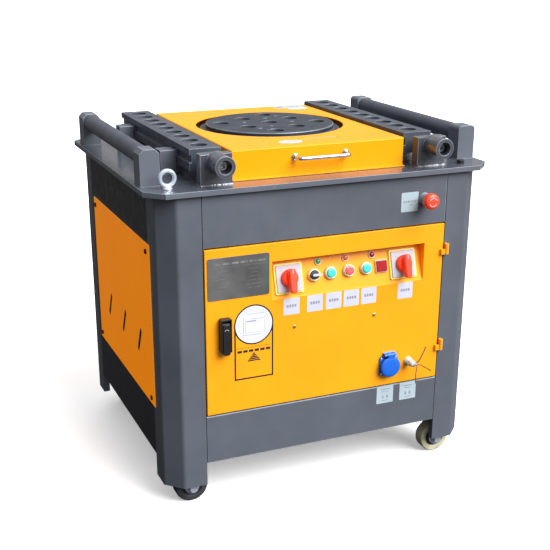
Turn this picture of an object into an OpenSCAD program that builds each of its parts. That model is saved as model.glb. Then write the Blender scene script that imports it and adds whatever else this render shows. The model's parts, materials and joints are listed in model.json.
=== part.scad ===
// Electric rebar bending machine: a cabinet with a rotating work disc, two socket bars and two bar rollers.
// Millimetres, Z up, X to the right, Y from the front to the rear. The origin is on the floor, at the middle
// of the whole machine's outline. Sub-parts are drawn with Y counted from the cabinet's front face and are
// put in place by stand().

/* [Cabinet] */
// Width over the side faces
body_w = 800; // [780:1:820]
// Depth from the front face to the rear face
body_d = 707; // [700:1:730]
// Height of the table's top face above the floor
table_h = 760; // [750:1:780]
// Thickness of the table plate
plate_t = 12; // [10:1:14]
// How far the table plate stands out past each side face
plate_over_x = 25; // [20:1:40]
// How far the table plate stands out past the front and rear faces
plate_over_y = 11; // [8:1:20]
// Size of the table plate's cut corners
plate_cut = 40; // [20:1:60]
// Sheet thickness of the folded frame parts
sheet_t = 3; // [2:0.5:4]
// Width of a column's face, with its cut corner
leg_w = 95; // [80:1:100]
// Size of a column's 45 degree corner face
leg_cut = 39; // [25:1:45]
// Height of the columns' lower ends above the floor
leg_bottom = 54; // [50:1:60]

/* [Door and panels] */
// Height of the door's lower edge
door_z0 = 232; // [225:1:240]
// Height of the door's upper edge
door_z1 = 626; // [615:1:632]
// Depth of the control recess at its upper edge
recess_d = 26; // [20:1:32]

/* [Table top] */
// Height of the lid above the table
lid_h = 66.7; // [60:0.1:70]
// Diameter of the lid's round hole
lid_hole_d = 368; // [356:1:380]
// Diameter of the work disc's rim
disc_d = 350; // [340:1:352]
// Pitch of the pin holes in the work disc
disc_pitch = 85; // [80:1:88]
// Diameter of every pin hole
pin_hole_d = 40; // [30:1:42]
// Pitch of the pin holes in the socket bars
bar_pitch = 60; // [58:1:62]
// Width of a socket bar
bar_w = 74; // [70:1:76]
// Diameter of the long rollers
roller_d = 41; // [36:1:42]

/* [Wheels] */
// Diameter of the wheels
wheel_d = 80; // [76:1:80]
// Width of the wheels
wheel_w = 32; // [28:1:33]

/* [Drive] */
// Teeth of the main gear on the spindle
main_teeth = 46; // [40:2:46]
// Teeth of each pinion
pinion_teeth = 12; // [12:1:12]

/* [Hidden] */
$fn = 48;
// Colours
dark_grey = [0.35, 0.37, 0.40];
yellow = [0.98, 0.75, 0.12];
steel = [0.6, 0.61, 0.63];
black = [0.08, 0.08, 0.09];
white = [0.92, 0.92, 0.9];
red = [0.9, 0.15, 0.1];
green = [0.1, 0.75, 0.7];
blue = [0.1, 0.45, 0.9];

// Front-most piece is the emergency stop's head, rear-most is the table plate
stop_reach = 42;
front_y = -(stop_reach + body_d + plate_over_y) / 2 + stop_reach;
fit = 0.05;             // radial running clearance of a shaft in its bore
half_w = body_w / 2;
under_z = table_h - plate_t;

// Corner inset of a bent sheet's inner face
fold = sheet_t * (sqrt(2) - 1);
lip = 17;
foot_plate_z = 100;
foot_plate_t = 4;
panel_gap = 1.5;
panel_half = half_w - leg_w - panel_gap;
return_d = 28;
beam_z0 = 110;
beam_z1 = door_z0 - sheet_t;
top_panel_z0 = door_z1 + sheet_t;
window_y = [120, 550];
window_z = [270, 590];
cover_y = [81, 588];
cover_z = [236, 627];
cover_t = 2;
slot_w = 14;
slot_reach = 30;         // half of the distance between a slot's rounded ends
slot_lean = 27;

// Casters
axle_z = wheel_d / 2;
wheel_x = half_w - 66;
rear_wheel_in = 22;     // how much closer to the middle the rear casters stand
wheel_y = 48;
axle_r = 6;
cheek_t = 3;
cheek_gap = 0.5;

// Table top
disc_y = 353;
disc_z = table_h + 31;
disc_h = 40;
disc_step_r = 160;
disc_turn = 30;
flange_z = table_h + 16;
flange_r = 165;
seat_gap = 0.02;        // film between the flange and the work disc that it carries
lid_half = 214;
lid_y = [55, 622];
lid_t = 2.5;
lid_hinge = [631, table_h + 9];
lid_pin_r = 4;
bar_x = 265.5;
bar_y = [82, 644];
bar_z = [24, 72];
groove_z = [42, 58];
groove_d = 5.5;
first_hole_y = 127;
bar_holes = 9;
screw_x = [-258.5, 274.5];
screw_z = table_h + 49;
block_y = [30, 56];
block_h = 68;
sleeve_front = -27;
sleeve_r = 23.5;
screw_r = 10;
screw_neck_r = 14.95;
screw_end_y = 104;
roller_x = half_w - 5;
roller_z = table_h + 57.5;
post_w = 45;
post_x = [half_w - 27.5, half_w + 17.5];
post_y = [[70, 116], [592, 638]];
post_cut = 10;
post_h = 80;
pivot_r = 12.5;
pivot_l = 15;
guide_y = [174, 520];
guide_l = 40;
guide_h = 55;
rest_y = [150, 540];

// Door and its fittings
door_half = half_w - leg_w - 3;
door_front = -2;
door_t = 2;
door_fold = 18;
hinge_xy = [309, -7];
hinge_r = 5;
hinge_pin_r = 2.5;
hinge_z = [[304, 332], [551, 577]];
recess_x = [-142, 250];
recess_z = [493, 583];
recess_tilt = atan(recess_d / (recess_z[1] - recess_z[0]));
pan_t = 2.5;
plate_x = [-97, 199];
control_s = 43.5;
selector_x = -33.5;
button_x = [9, 56, 101];
square_x = 142;
lamp_x = [-19.5, 51, 120];
lamp_s = 73.5;
bezel_r = 15.5;
cap_r = 11;
latch_x = -258.5;
latch_z = [387, 467];
latch_axis_z = 454;
latch_half = 13;
socket_x = 165;
socket_z = 284;
socket_lid_r = 26;
gland_x = 220;
gland_z = 287;
stop_x = 243;
stop_z = 691;

// Drive: shafts stand upright, each place is [x, y]
spindle_xy = [0, disc_y];
main_m = 6;
mid_m = 5;
first_m = 4;
mid_teeth = 36;
first_teeth = 40;
third_turn = 133.6;
second_turn = 208.9;
input_turn = 270;
function reach(from, distance, turn) = from + distance * [cos(turn), sin(turn)];
third_xy = reach(spindle_xy, main_m * (main_teeth + pinion_teeth) / 2, third_turn);
second_xy = reach(third_xy, mid_m * (mid_teeth + pinion_teeth) / 2, second_turn);
input_xy = reach(second_xy, first_m * (first_teeth + pinion_teeth) / 2, input_turn);
motor_xy = [255, 400];
case_x = [-328, 160];
case_y = [190, 592];
case_z = [572, under_z - 10];
case_t = 8;
main_z = [685, 722];
mid_z = [645, 672];
first_z = [602, 626];
shaft_r = 15;
journal_r = 12;
spindle_r = 45;
neck_r = 74;
belt_z = [530, 543];
belt_w = 10;
belt_gap = 0.4;
small_pulley_r = 40;
large_pulley_r = 120;
motor_r = 88;
motor_z = [200, 476];
motor_shaft_r = 14;
bench_t = 8;

// Wires that leave the gland's sheath: routes of points, and one thickness
wire_r = 1.25;
sheath_r = 4;
sheath_end = [225, -37, 291];
blue_route = [[223.5, -34.5, 291.5], [225, -35.5, 292.5], [226.5, -37, 294.5], [229, -38.5, 298],
    [232, -39.5, 303], [235, -40, 309], [238, -40, 315], [241, -40, 321], [244, -39.5, 327], [247, -39, 333]];
brown_route = [[225, -36, 288.5], [226.5, -37, 289.5], [229, -38, 289.5], [233, -39, 288], [238, -39.5, 285],
    [243.5, -40, 282], [249, -40, 278], [255, -39.5, 274], [261, -39, 270], [266, -38.5, 266]];
grey_route = [[222.5, -37.5, 290], [223.5, -38.5, 291], [224.5, -39.5, 289.5], [224.5, -40, 286],
    [224, -40.5, 281], [223, -40.5, 275], [222.5, -40, 269], [222.5, -39.5, 263], [223, -39, 257],
    [223.5, -38.5, 251], [224, -38, 245], [224.5, -37.5, 239.5]];

// ---------- helpers ----------

// Moves a sub-part drawn from the cabinet's front face to its place
module stand() {
    translate([0, front_y, 0]) children();
}

// Box from its lowest to its highest corner
module block(low, high) {
    translate(low) cube(high - low);
}

// Round bar along Z, X or Y from one coordinate to another
module rod_z(xy, z0, z1, r) {
    translate([xy[0], xy[1], z0]) cylinder(h = z1 - z0, r = r);
}
module rod_x(yz, x0, x1, r) {
    translate([x0, yz[0], yz[1]]) rotate([0, 90, 0]) cylinder(h = x1 - x0, r = r);
}
module rod_y(xz, y0, y1, r) {
    translate([xz[0], y0, xz[1]]) rotate([-90, 0, 0]) cylinder(h = y1 - y0, r = r);
}

// Draws the child on the right and mirrored on the left
module both_sides() {
    for (side = [0, 1]) mirror([side, 0, 0]) children();
}

// Places a control on the sloped recess floor: X across, Z along the outward normal
module on_recess(x, s) {
    translate([x, 0, recess_z[0]]) rotate([90 - recess_tilt, 0, 0]) translate([0, s, 0])
        children();
}

// Tube swept along a route of points
wire_sides = 8;
function unit(v) = v / norm(v);
function heading(p, i) = unit(p[min(i + 1, len(p) - 1)] - p[max(i - 1, 0)]);
function ring(c, d, r) =
    let (a = unit(cross(d, [0, 1, 0.01])), b = cross(d, a))
    [for (k = [0 : wire_sides - 1]) c + r * (cos(k * 360 / wire_sides) * a + sin(k * 360 / wire_sides) * b)];
module swept_tube(p, r) {
    n = len(p);
    points = [for (i = [0 : n - 1]) each ring(p[i], heading(p, i), r)];
    walls = [for (i = [0 : n - 2], k = [0 : wire_sides - 1])
        let (m = (k + 1) % wire_sides)
        [i * wire_sides + k, (i + 1) * wire_sides + k, (i + 1) * wire_sides + m, i * wire_sides + m]];
    near = [for (k = [0 : wire_sides - 1]) k];
    far = [for (k = [wire_sides - 1 : -1 : 0]) (n - 1) * wire_sides + k];
    polyhedron(points = points, faces = concat([near], [far], walls));
}

// Flat spur gear outline with straight-sided teeth, one tooth pointing along the given turn
module gear_outline(teeth, m, turn) {
    pitch_r = m * teeth / 2;
    tip_r = pitch_r + 0.9 * m;
    root_r = pitch_r - 1.2 * m;
    step = 360 / teeth;
    polygon([for (k = [0 : teeth - 1], c = [[-0.34, root_r], [-0.11, tip_r], [0.11, tip_r], [0.34, root_r]])
        c[1] * [cos(turn + (k + c[0]) * step), sin(turn + (k + c[0]) * step)]]);
}
module gear(xy, z, teeth, m, turn) {
    translate([xy[0], xy[1], z[0]]) linear_extrude(z[1] - z[0]) gear_outline(teeth, m, turn);
}

// ---------- cabinet frame ----------

module table_plate() color(dark_grey) stand() {
    x = half_w + plate_over_x;
    y0 = -plate_over_y;
    y1 = body_d + plate_over_y;
    translate([0, 0, under_z]) linear_extrude(plate_t) difference() {
        polygon([[-x + plate_cut, y0], [x - plate_cut, y0], [x, y0 + plate_cut], [x, y1 - plate_cut],
            [x - plate_cut, y1], [-x + plate_cut, y1], [-x, y1 - plate_cut], [-x, y0 + plate_cut]]);
        translate(spindle_xy) circle(r = neck_r + 2);
        translate([-lifting_x, lifting_y]) circle(r = shank_r + 0.2);
        translate([plug_x, plug_y]) circle(r = shank_r + 0.2);
    }
}

// Folded column with its corner at the origin of its own section, u and v run inwards
module leg_section() {
    polygon([[lip, leg_w], [0, leg_w], [0, leg_cut], [leg_cut, 0], [leg_w, 0], [leg_w, lip],
        [leg_w - sheet_t, lip], [leg_w - sheet_t, sheet_t], [leg_cut + fold, sheet_t],
        [sheet_t, leg_cut + fold], [sheet_t, leg_w - sheet_t], [lip, leg_w - sheet_t]]);
}
module leg(reach = 0) {
    translate([0, 0, leg_bottom]) linear_extrude(under_z - leg_bottom) leg_section();
    translate([0, 0, foot_plate_z]) linear_extrude(foot_plate_t) {
        polygon([[0, leg_w], [0, leg_cut], [leg_cut, 0], [leg_w, 0], [leg_w, leg_w]]);
        if (reach > 0) translate([leg_w - 1, lip]) square([reach + 1, leg_w - lip]);
    }
}
module front_legs() color(dark_grey) stand() both_sides() translate([-half_w, 0, 0]) leg();
module rear_legs() color(dark_grey) stand() both_sides()
    translate([-half_w, body_d, 0]) mirror([0, 1, 0]) leg(rear_wheel_in);

// Channel-shaped front panel with ears that lie behind the columns' lips
module channel(z0, z1) {
    block([-panel_half, 0, z0], [panel_half, sheet_t, z1]);
    for (z = [z0, z1 - sheet_t]) block([-panel_half, 0, z], [panel_half, return_d, z + sheet_t]);
    both_sides()
        block([panel_half - 20, lip, z0 + 2 * sheet_t], [panel_half + 4.5, lip + sheet_t, z1 - sheet_t]);
}
module front_panels() color(dark_grey) stand() {
    difference() {
        channel(top_panel_z0, under_z);
        rod_y([stop_x, stop_z], -1, return_d + 1, 11.5);
    }
    channel(beam_z0, beam_z1);
}

// Side and rear sheets between the columns, each with a window that a cover closes
module frame_sheets() color(dark_grey) stand() {
    both_sides() difference() {
        block([half_w - sheet_t, leg_w, beam_z0], [half_w, body_d - leg_w, under_z]);
        block([half_w - sheet_t - 1, window_y[0], window_z[0]], [half_w + 1, window_y[1], window_z[1]]);
    }
    difference() {
        block([-half_w + leg_w, body_d - sheet_t, beam_z0], [half_w - leg_w, body_d, under_z]);
        block([-250, body_d - sheet_t - 1, window_z[0]], [250, body_d + 1, window_z[1]]);
    }
}

// Floor sheet of the cabinet and the bench that carries the motor
module inner_supports() color(dark_grey) stand() {
    shelf_z = beam_z0 + sheet_t;
    bench_x = [145, 365];
    bench_y = [290, 510];
    post = 25;
    difference() {
        block([-half_w + sheet_t, sheet_t, shelf_z], [half_w - sheet_t, body_d - sheet_t, shelf_z + sheet_t]);
        both_sides() for (y = [0, body_d - leg_w])
            block([half_w - leg_w - 1, y - 1, shelf_z - 1], [half_w + 1, y + leg_w + 1, shelf_z + 10]);
    }
    difference() {
        block([bench_x[0], bench_y[0], motor_z[1]], [bench_x[1], bench_y[1], motor_z[1] + bench_t]);
        rod_z(motor_xy, motor_z[1] - 1, motor_z[1] + bench_t + 1, 30);
    }
    for (x = [bench_x[0], bench_x[1] - post], y = [bench_y[0], bench_y[1] - post])
        block([x, y, shelf_z + sheet_t], [x + post, y + post, motor_z[1]]);
}

// Slotted cover sheets, drawn flat: u along the sheet, v up
module cover_sheet(u, v, slots) {
    linear_extrude(cover_t) difference() {
        translate([u[0], v[0]]) square([u[1] - u[0], v[1] - v[0]]);
        for (p = slots) translate(p) rotate(slot_lean) {
            translate([-slot_w / 2, -slot_reach]) square([slot_w, 2 * slot_reach]);
            for (end = [-slot_reach, slot_reach]) translate([0, end]) circle(r = slot_w / 2);
        }
    }
}
module cover_panels() color(yellow) stand() {
    both_sides() translate([half_w, 0, 0]) rotate([90, 0, 90])
        cover_sheet(cover_y, cover_z, [[192, 366], [330, 366], [466, 366]]);
    translate([0, body_d + cover_t, 0]) rotate([90, 0, 0])
        cover_sheet([-275, 275], cover_z, [for (x = [-180 : 90 : 180]) [x, 366]]);
}

// Round-headed screws of the covers, one head shape at every corner
module screw_head() {
    difference() {
        cylinder(h = 3, r = 6);
        translate([-4.5, -0.6, 2]) cube([9, 1.2, 2]);
        translate([-0.6, -4.5, 2]) cube([1.2, 9, 2]);
    }
}
module panel_screws() color(steel) stand() {
    both_sides() for (y = [104, 570], z = [252, 608])
        translate([half_w + cover_t, y, z]) rotate([0, 90, 0]) screw_head();
    for (x = [-260, 260], z = [252, 608])
        translate([x, body_d + cover_t, z]) rotate([-90, 0, 0]) screw_head();
}

// ---------- wheels ----------

// Fork of a fixed caster with its axle bolt, the wheel's middle at the origin's height
module caster_fork() {
    reach_y = wheel_w / 2 + cheek_gap;
    fork_w = 36;
    block([-fork_w / 2, -reach_y - cheek_t, foot_plate_z - foot_plate_t],
        [fork_w / 2, reach_y + cheek_t, foot_plate_z]);
    for (side = [-1, 1]) translate([0, side * (reach_y + cheek_t / 2) - cheek_t / 2, 0]) difference() {
        union() {
            block([-fork_w / 2, 0, axle_z], [fork_w / 2, cheek_t, foot_plate_z]);
            rod_y([0, axle_z], 0, cheek_t, fork_w / 2);
        }
        rod_y([0, axle_z], -1, cheek_t + 1, axle_r + 0.15);
    }
    outer_y = reach_y + cheek_t;
    rod_y([0, axle_z], -outer_y - 1, outer_y + 1, axle_r);
    rod_y([0, axle_z], -outer_y - 2.5, -outer_y, 13);
    rod_y([0, axle_z], -outer_y - 14, -outer_y - 2.5, 10);
    rod_y([0, axle_z], outer_y, outer_y + 9, 10);
}
module caster_forks() color(steel) stand() both_sides() {
    translate([wheel_x, wheel_y, 0]) caster_fork();
    translate([wheel_x - rear_wheel_in, body_d - wheel_y, 0]) mirror([0, 1, 0]) caster_fork();
}

// Wheel with its middle at the origin, axle along Y
module wheel() {
    r = wheel_d / 2;
    w = wheel_w / 2;
    bore = axle_r + fit;
    rotate([90, 0, 0]) rotate_extrude($fn = 72) polygon([[bore, -w], [12, -w], [12, 3 - w], [26, 3 - w],
        [26, -w], [r - 3, -w], [r, 3 - w], [r, w - 3], [r - 3, w], [26, w], [26, w - 3], [12, w - 3],
        [12, w], [bore, w]]);
}
module wheel_at(x, y) color(black) stand() translate([x, y, axle_z]) wheel();
module wheel_front_left() wheel_at(-wheel_x, wheel_y);
module wheel_front_right() wheel_at(wheel_x, wheel_y);
module wheel_rear_left() wheel_at(rear_wheel_in - wheel_x, body_d - wheel_y);
module wheel_rear_right() wheel_at(wheel_x - rear_wheel_in, body_d - wheel_y);

// ---------- table top ----------

// Post outline seen from the front: cut upper corners on the left, round ones on the right
module post_outline(round_top) {
    w = post_w;
    if (round_top) {
        square([w, post_h - post_cut]);
        translate([post_cut, 0]) square([w - 2 * post_cut, post_h]);
        for (u = [post_cut, w - post_cut]) translate([u, post_h - post_cut]) circle(r = post_cut);
    } else {
        polygon([[0, 0], [w, 0], [w, post_h - post_cut], [w - post_cut, post_h], [post_cut, post_h],
            [0, post_h - post_cut]]);
    }
}
module roller_posts() color(dark_grey) stand() for (side = [-1, 1]) difference() {
    for (y = post_y)
        translate([side * (post_x[0] + post_x[1]) / 2 - post_w / 2, y[1], table_h]) rotate([90, 0, 0])
            linear_extrude(y[1] - y[0]) post_outline(side > 0);
    rod_y([side * roller_x, roller_z], post_y[0][1] - pivot_l - 1, post_y[1][0] + pivot_l + 1, pivot_r + fit);
}

// Long roller with a journal at each end
module roller(x) color(dark_grey) stand() {
    y0 = post_y[0][1] + 0.5;
    y1 = post_y[1][0] - 0.5;
    rod_y([x, roller_z], y0, y1, roller_d / 2);
    rod_y([x, roller_z], y0 - pivot_l, y1 + pivot_l, pivot_r);
}
module roller_left() roller(-roller_x);
module roller_right() roller(roller_x);

// Blocks beside the socket bars with a tongue in the groove, and rests under the bars
module guide_blocks() color(dark_grey) stand() both_sides() {
    side_x = bar_x + bar_w / 2 + 0.5;
    for (y = guide_y) {
        block([side_x, y, table_h], [side_x + 37, y + guide_l, table_h + guide_h]);
        block([side_x - groove_d, y, table_h + groove_z[0] + 1],
            [side_x + 1, y + guide_l, table_h + guide_h]);
    }
    for (y = rest_y) block([bar_x - 25, y, table_h], [bar_x + 25, y + 40, table_h + bar_z[0] - 0.2]);
}

// Socket bar: a grooved bar with a row of pin holes, and a bore in its front end for the screw
module socket_bar(x, bore_x) color(dark_grey) stand() difference() {
    block([x - bar_w / 2, bar_y[0], table_h + bar_z[0]], [x + bar_w / 2, bar_y[1], table_h + bar_z[1]]);
    for (edge = [-1, 1])
        translate([x + edge * bar_w / 2 - groove_d, bar_y[0] - 1, table_h + groove_z[0]])
            cube([2 * groove_d, bar_y[1] - bar_y[0] + 2, groove_z[1] - groove_z[0]]);
    for (k = [0 : bar_holes - 1])
        rod_z([x, first_hole_y + k * bar_pitch], table_h + bar_z[0] - 1, table_h + bar_z[1] + 1,
            pin_hole_d / 2);
    rod_y([bore_x, screw_z], bar_y[0] - 1, first_hole_y, screw_r + fit);
}
module socket_bar_left() socket_bar(-bar_x, screw_x[0]);
module socket_bar_right() socket_bar(bar_x, screw_x[1]);

// Welded block with the sleeve that carries an adjusting screw
module screw_block(x) difference() {
    union() {
        block([x - bar_w / 2, block_y[0], table_h], [x + bar_w / 2, block_y[1], table_h + block_h]);
        rod_y([x, screw_z], sleeve_front, block_y[0] + 1, sleeve_r);
    }
    rod_y([x, screw_z], sleeve_front - 1, block_y[1] + 1, screw_neck_r + fit);
}
module screw_blocks() color(dark_grey) stand() for (x = screw_x) screw_block(x);

// Adjusting screw: driven end in the sleeve, neck, collar behind the block, then the thread
module adjusting_screw(x) color(steel) stand() difference() {
    union() {
        rod_y([x, screw_z], -10, 10, 10);
        rod_y([x, screw_z], 10, block_y[1] + 0.3, screw_neck_r);
        rod_y([x, screw_z], block_y[1] + 0.3, block_y[1] + 7, 18);
        rod_y([x, screw_z], block_y[1] + 7, screw_end_y, screw_r);
    }
    translate([x, -11, screw_z]) rotate([-90, 0, 0]) cylinder(h = 9, r = 5, $fn = 6);
}
module adjusting_screw_left() adjusting_screw(screw_x[0]);
module adjusting_screw_right() adjusting_screw(screw_x[1]);

// Lifting eye at the front left corner, plug bolt at the front right corner
lifting_x = 368;
lifting_y = 35;
plug_x = 357;
plug_y = 32;
shank_r = 5;
eye_r = 16.2;
eye_bar_r = 4.8;
eye_z = 23;
module lifting_hardware() color(steel) stand() {
    translate([-lifting_x, lifting_y, table_h + eye_z]) rotate([90, 0, 0]) rotate_extrude($fn = 64)
        translate([eye_r, 0]) circle(r = eye_bar_r, $fn = 24);
    rod_z([-lifting_x, lifting_y], table_h, table_h + 3, 11);
    rod_z([-lifting_x, lifting_y], table_h + 2, table_h + 6, 6);
    rod_z([-lifting_x, lifting_y], under_z - 6, table_h + 1, shank_r);
    translate([plug_x, plug_y, table_h]) cylinder(h = 8, r = 10, $fn = 6);
    rod_z([plug_x, plug_y], under_z - 4, table_h + 1, shank_r);
}

// Lid: a sheet box, open below, with a round hole for the work disc and two hinge knuckles behind
module lid() color(yellow) stand() {
    z0 = table_h + 0.5;
    z1 = table_h + lid_h;
    difference() {
        union() {
            block([-lid_half, lid_y[0], z0], [lid_half, lid_y[1], z1]);
            block([-lid_half, lid_y[0] - 8, z0], [lid_half, lid_y[0] + 1, z0 + lid_t]);
            both_sides() {
                rod_x(lid_hinge, 100, 140, 8);
                block([100, lid_y[1] - 1, lid_hinge[1] - 4], [140, lid_hinge[0], lid_hinge[1] + 8]);
            }
        }
        block([-lid_half + lid_t, lid_y[0] + lid_t, z0 - 1],
            [lid_half - lid_t, lid_y[1] - lid_t, z1 - lid_t]);
        rod_z(spindle_xy, z0, z1 + 1, lid_hole_d / 2);
        both_sides() rod_x(lid_hinge, 90, 150, lid_pin_r + fit);
    }
}

// Pull handle: a bar on two feet
module lid_handle() color(steel) stand() {
    handle_x = 63;
    bar_r = 4.5;
    bar_front = lid_y[0] - 30 + bar_r;
    z = table_h + 42;
    both_sides() {
        rod_y([handle_x, z], bar_front, lid_y[0], bar_r);
        rod_y([handle_x, z], lid_y[0] - 4, lid_y[0], 8);
        translate([handle_x, bar_front, z]) sphere(r = bar_r);
    }
    rod_x([bar_front, z], -handle_x, handle_x, bar_r);
}

// Fixed halves of the lid's and the door's hinges, each with its pin
module hinge_brackets() color(yellow) stand() {
    both_sides() {
        rod_x(lid_hinge, 85, 155, lid_pin_r);
        for (x = [82, 141]) {
            rod_x(lid_hinge, x, x + 17, 8);
            block([x, lid_hinge[0] - 5, table_h], [x + 17, lid_hinge[0] + 5, lid_hinge[1]]);
        }
    }
    for (z = hinge_z) {
        middle = (z[0] + z[1]) / 2;
        rod_z(hinge_xy, middle + 0.25, z[1], hinge_r);
        block([hinge_xy[0] - 3, hinge_xy[1], middle + 0.25], [hinge_xy[0] + 3, 0, z[1]]);
        rod_z(hinge_xy, z[0], z[1], hinge_pin_r);
    }
}

// Work disc with a square grid of pin holes, which the spindle's flange closes below, and its fixing screws
module disc_screw(p) {
    translate([p[0], p[1], disc_z + disc_h - 9]) difference() {
        cylinder(h = 8, r = 6.5);
        translate([0, 0, 4]) cylinder(h = 5, r = 3.4, $fn = 6);
    }
}
module work_disc() color(dark_grey) stand() {
    top = disc_z + disc_h;
    half_cell = disc_pitch / 2;
    screws = [for (x = [-1, 1], y = [-1, 1]) half_cell * [x, y]];
    side_screws = [for (s = [-1, 1]) s * [1.02 * disc_pitch, half_cell]];
    translate([spindle_xy[0], spindle_xy[1], 0]) rotate([0, 0, disc_turn]) {
        difference() {
            rotate_extrude($fn = 96) polygon([[0, disc_z], [disc_d / 2 - 2, disc_z], [disc_d / 2, disc_z + 2],
                [disc_d / 2, top - 14], [disc_d / 2 - 2, top - 12], [disc_step_r, top - 12],
                [disc_step_r, top - 1.5], [disc_step_r - 1.5, top], [0, top]]);
            for (x = [-1 : 1], y = [-1 : 1])
                rod_z(disc_pitch * [x, y], disc_z - 1, top + 1, pin_hole_d / 2);
            for (p = concat(screws, side_screws)) rod_z(p, top - 9, top + 1, 7.5);
        }
        for (p = concat(screws, side_screws)) disc_screw(p);
    }
}

// ---------- drive ----------

module main_spindle() color(steel) stand() {
    rod_z(spindle_xy, flange_z, disc_z - seat_gap, flange_r);
    rod_z(spindle_xy, case_z[0] + case_t + 12, flange_z + 1, spindle_r);
    rod_z(spindle_xy, case_z[0] + 1, case_z[0] + case_t + 13, 30);
}
module main_gear() color(steel) stand() difference() {
    gear(spindle_xy, main_z, main_teeth, main_m, third_turn);
    rod_z(spindle_xy, main_z[0] - 1, main_z[1] + 1, spindle_r + fit);
}

// Shaft with a journal at each end, a gear and a pinion
module geared_shaft(xy, wheel_z, wheel_teeth, wheel_m, wheel_turn, pinion_z, pinion_m, pinion_turn) {
    rod_z(xy, case_z[0] + case_t + 0.5, case_z[1] - 0.5, shaft_r);
    rod_z(xy, case_z[0] + 1, case_z[1] + 8, journal_r);
    gear(xy, wheel_z, wheel_teeth, wheel_m, wheel_turn);
    gear(xy, pinion_z, pinion_teeth, pinion_m, pinion_turn);
}
// A pinion or gear that meets its mate along a turn has a gap there: half a tooth of rotation
function gap(teeth) = 180 / teeth;
module third_shaft() color(steel) stand()
    geared_shaft(third_xy, mid_z, mid_teeth, mid_m, second_turn,
        main_z + [-3, 3], main_m, third_turn + 180 + gap(pinion_teeth));
module second_shaft() color(steel) stand()
    geared_shaft(second_xy, first_z, first_teeth, first_m, input_turn,
        mid_z + [-3, 3], mid_m, second_turn + 180 + gap(pinion_teeth));
module input_shaft() color(steel) stand() {
    rod_z(input_xy, belt_z[0] - 18, case_z[1] - 0.5, shaft_r);
    rod_z(input_xy, belt_z[0] - 18, case_z[1] + 8, journal_r);
    gear(input_xy, first_z + [-3, 3], pinion_teeth, first_m, input_turn + 180 + gap(pinion_teeth));
}

module gearbox_case() color(dark_grey) stand() difference() {
    block([case_x[0], case_y[0], case_z[0]], [case_x[1], case_y[1], case_z[1]]);
    difference() {
        block([case_x[0] + case_t, case_y[0] + case_t, case_z[0] + case_t],
            [case_x[1] - case_t, case_y[1] - case_t, case_z[1] + 1]);
        rod_z(spindle_xy, case_z[0], case_z[0] + case_t + 11, 50);
    }
    rod_z(spindle_xy, case_z[0] - 1, case_z[0] + case_t + 12, 30 + fit);
    rod_z(input_xy, case_z[0] - 1, case_z[0] + case_t + 1, shaft_r + fit);
    for (p = [third_xy, second_xy]) rod_z(p, case_z[0] - 1, case_z[0] + case_t + 1, journal_r + fit);
}
module gearbox_cover() color(dark_grey) stand() difference() {
    union() {
        block([case_x[0], case_y[0], case_z[1]], [case_x[1], case_y[1], under_z]);
        rod_z(spindle_xy, under_z - 1, flange_z - 1, neck_r);
    }
    rod_z(spindle_xy, case_z[1] - 1, flange_z, spindle_r + fit);
    for (p = [third_xy, second_xy, input_xy]) rod_z(p, case_z[1] - 1, case_z[1] + 8.5, journal_r + fit);
}

// Grooved pulley profile: groove radius and the bore inside
module pulley(groove_r, bore_r) {
    edge = groove_r + 12;
    low = belt_z[0] - 8;
    high = belt_z[1] + 8;
    rotate_extrude($fn = 96) polygon([[bore_r, low], [edge, low], [edge, belt_z[0] - 2],
        [groove_r, belt_z[0] - 0.8], [groove_r, belt_z[1] + 0.8], [edge, belt_z[1] + 2], [edge, high],
        [bore_r, high]]);
}
module input_pulley() color(steel) stand() translate([input_xy[0], input_xy[1], 0])
    pulley(large_pulley_r, shaft_r + fit);
module motor_pulley() color(steel) stand() translate([motor_xy[0], motor_xy[1], 0]) {
    pulley(small_pulley_r, 0);
    rod_z([0, 0], motor_z[1] - 50, belt_z[0], motor_shaft_r);
}

// Loop around the two pulleys at a given distance outside their grooves
module belt_outline(out) hull() {
    translate(motor_xy) circle(r = small_pulley_r + out);
    translate(input_xy) circle(r = large_pulley_r + out, $fn = 96);
}
module v_belt() color(black) stand() translate([0, 0, belt_z[0]]) linear_extrude(belt_z[1] - belt_z[0])
    difference() {
        belt_outline(belt_gap + belt_w);
        belt_outline(belt_gap);
    }

// Upright motor that hangs from the bench, with its terminal box
module motor() color(dark_grey) stand() difference() {
    union() {
        rod_z(motor_xy, motor_z[0], motor_z[1] - 10, motor_r);
        rod_z(motor_xy, motor_z[1] - 14, motor_z[1], 100);
        rod_z(motor_xy, motor_z[0], motor_z[0] + 45, motor_r + 4);
        block([motor_xy[0] - 45, motor_xy[1] - motor_r - 35, 330], [motor_xy[0] + 45, motor_xy[1] - 60, 420]);
    }
    rod_z(motor_xy, motor_z[1] - 52, motor_z[1] + 1, motor_shaft_r + fit);
}

// Box for the contactors, standing on the floor sheet
module control_box() color(steel) stand()
    block([-half_w + 15, 110, beam_z0 + 2 * sheet_t], [-half_w + 130, 180, 380]);

// ---------- door and fittings ----------

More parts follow.
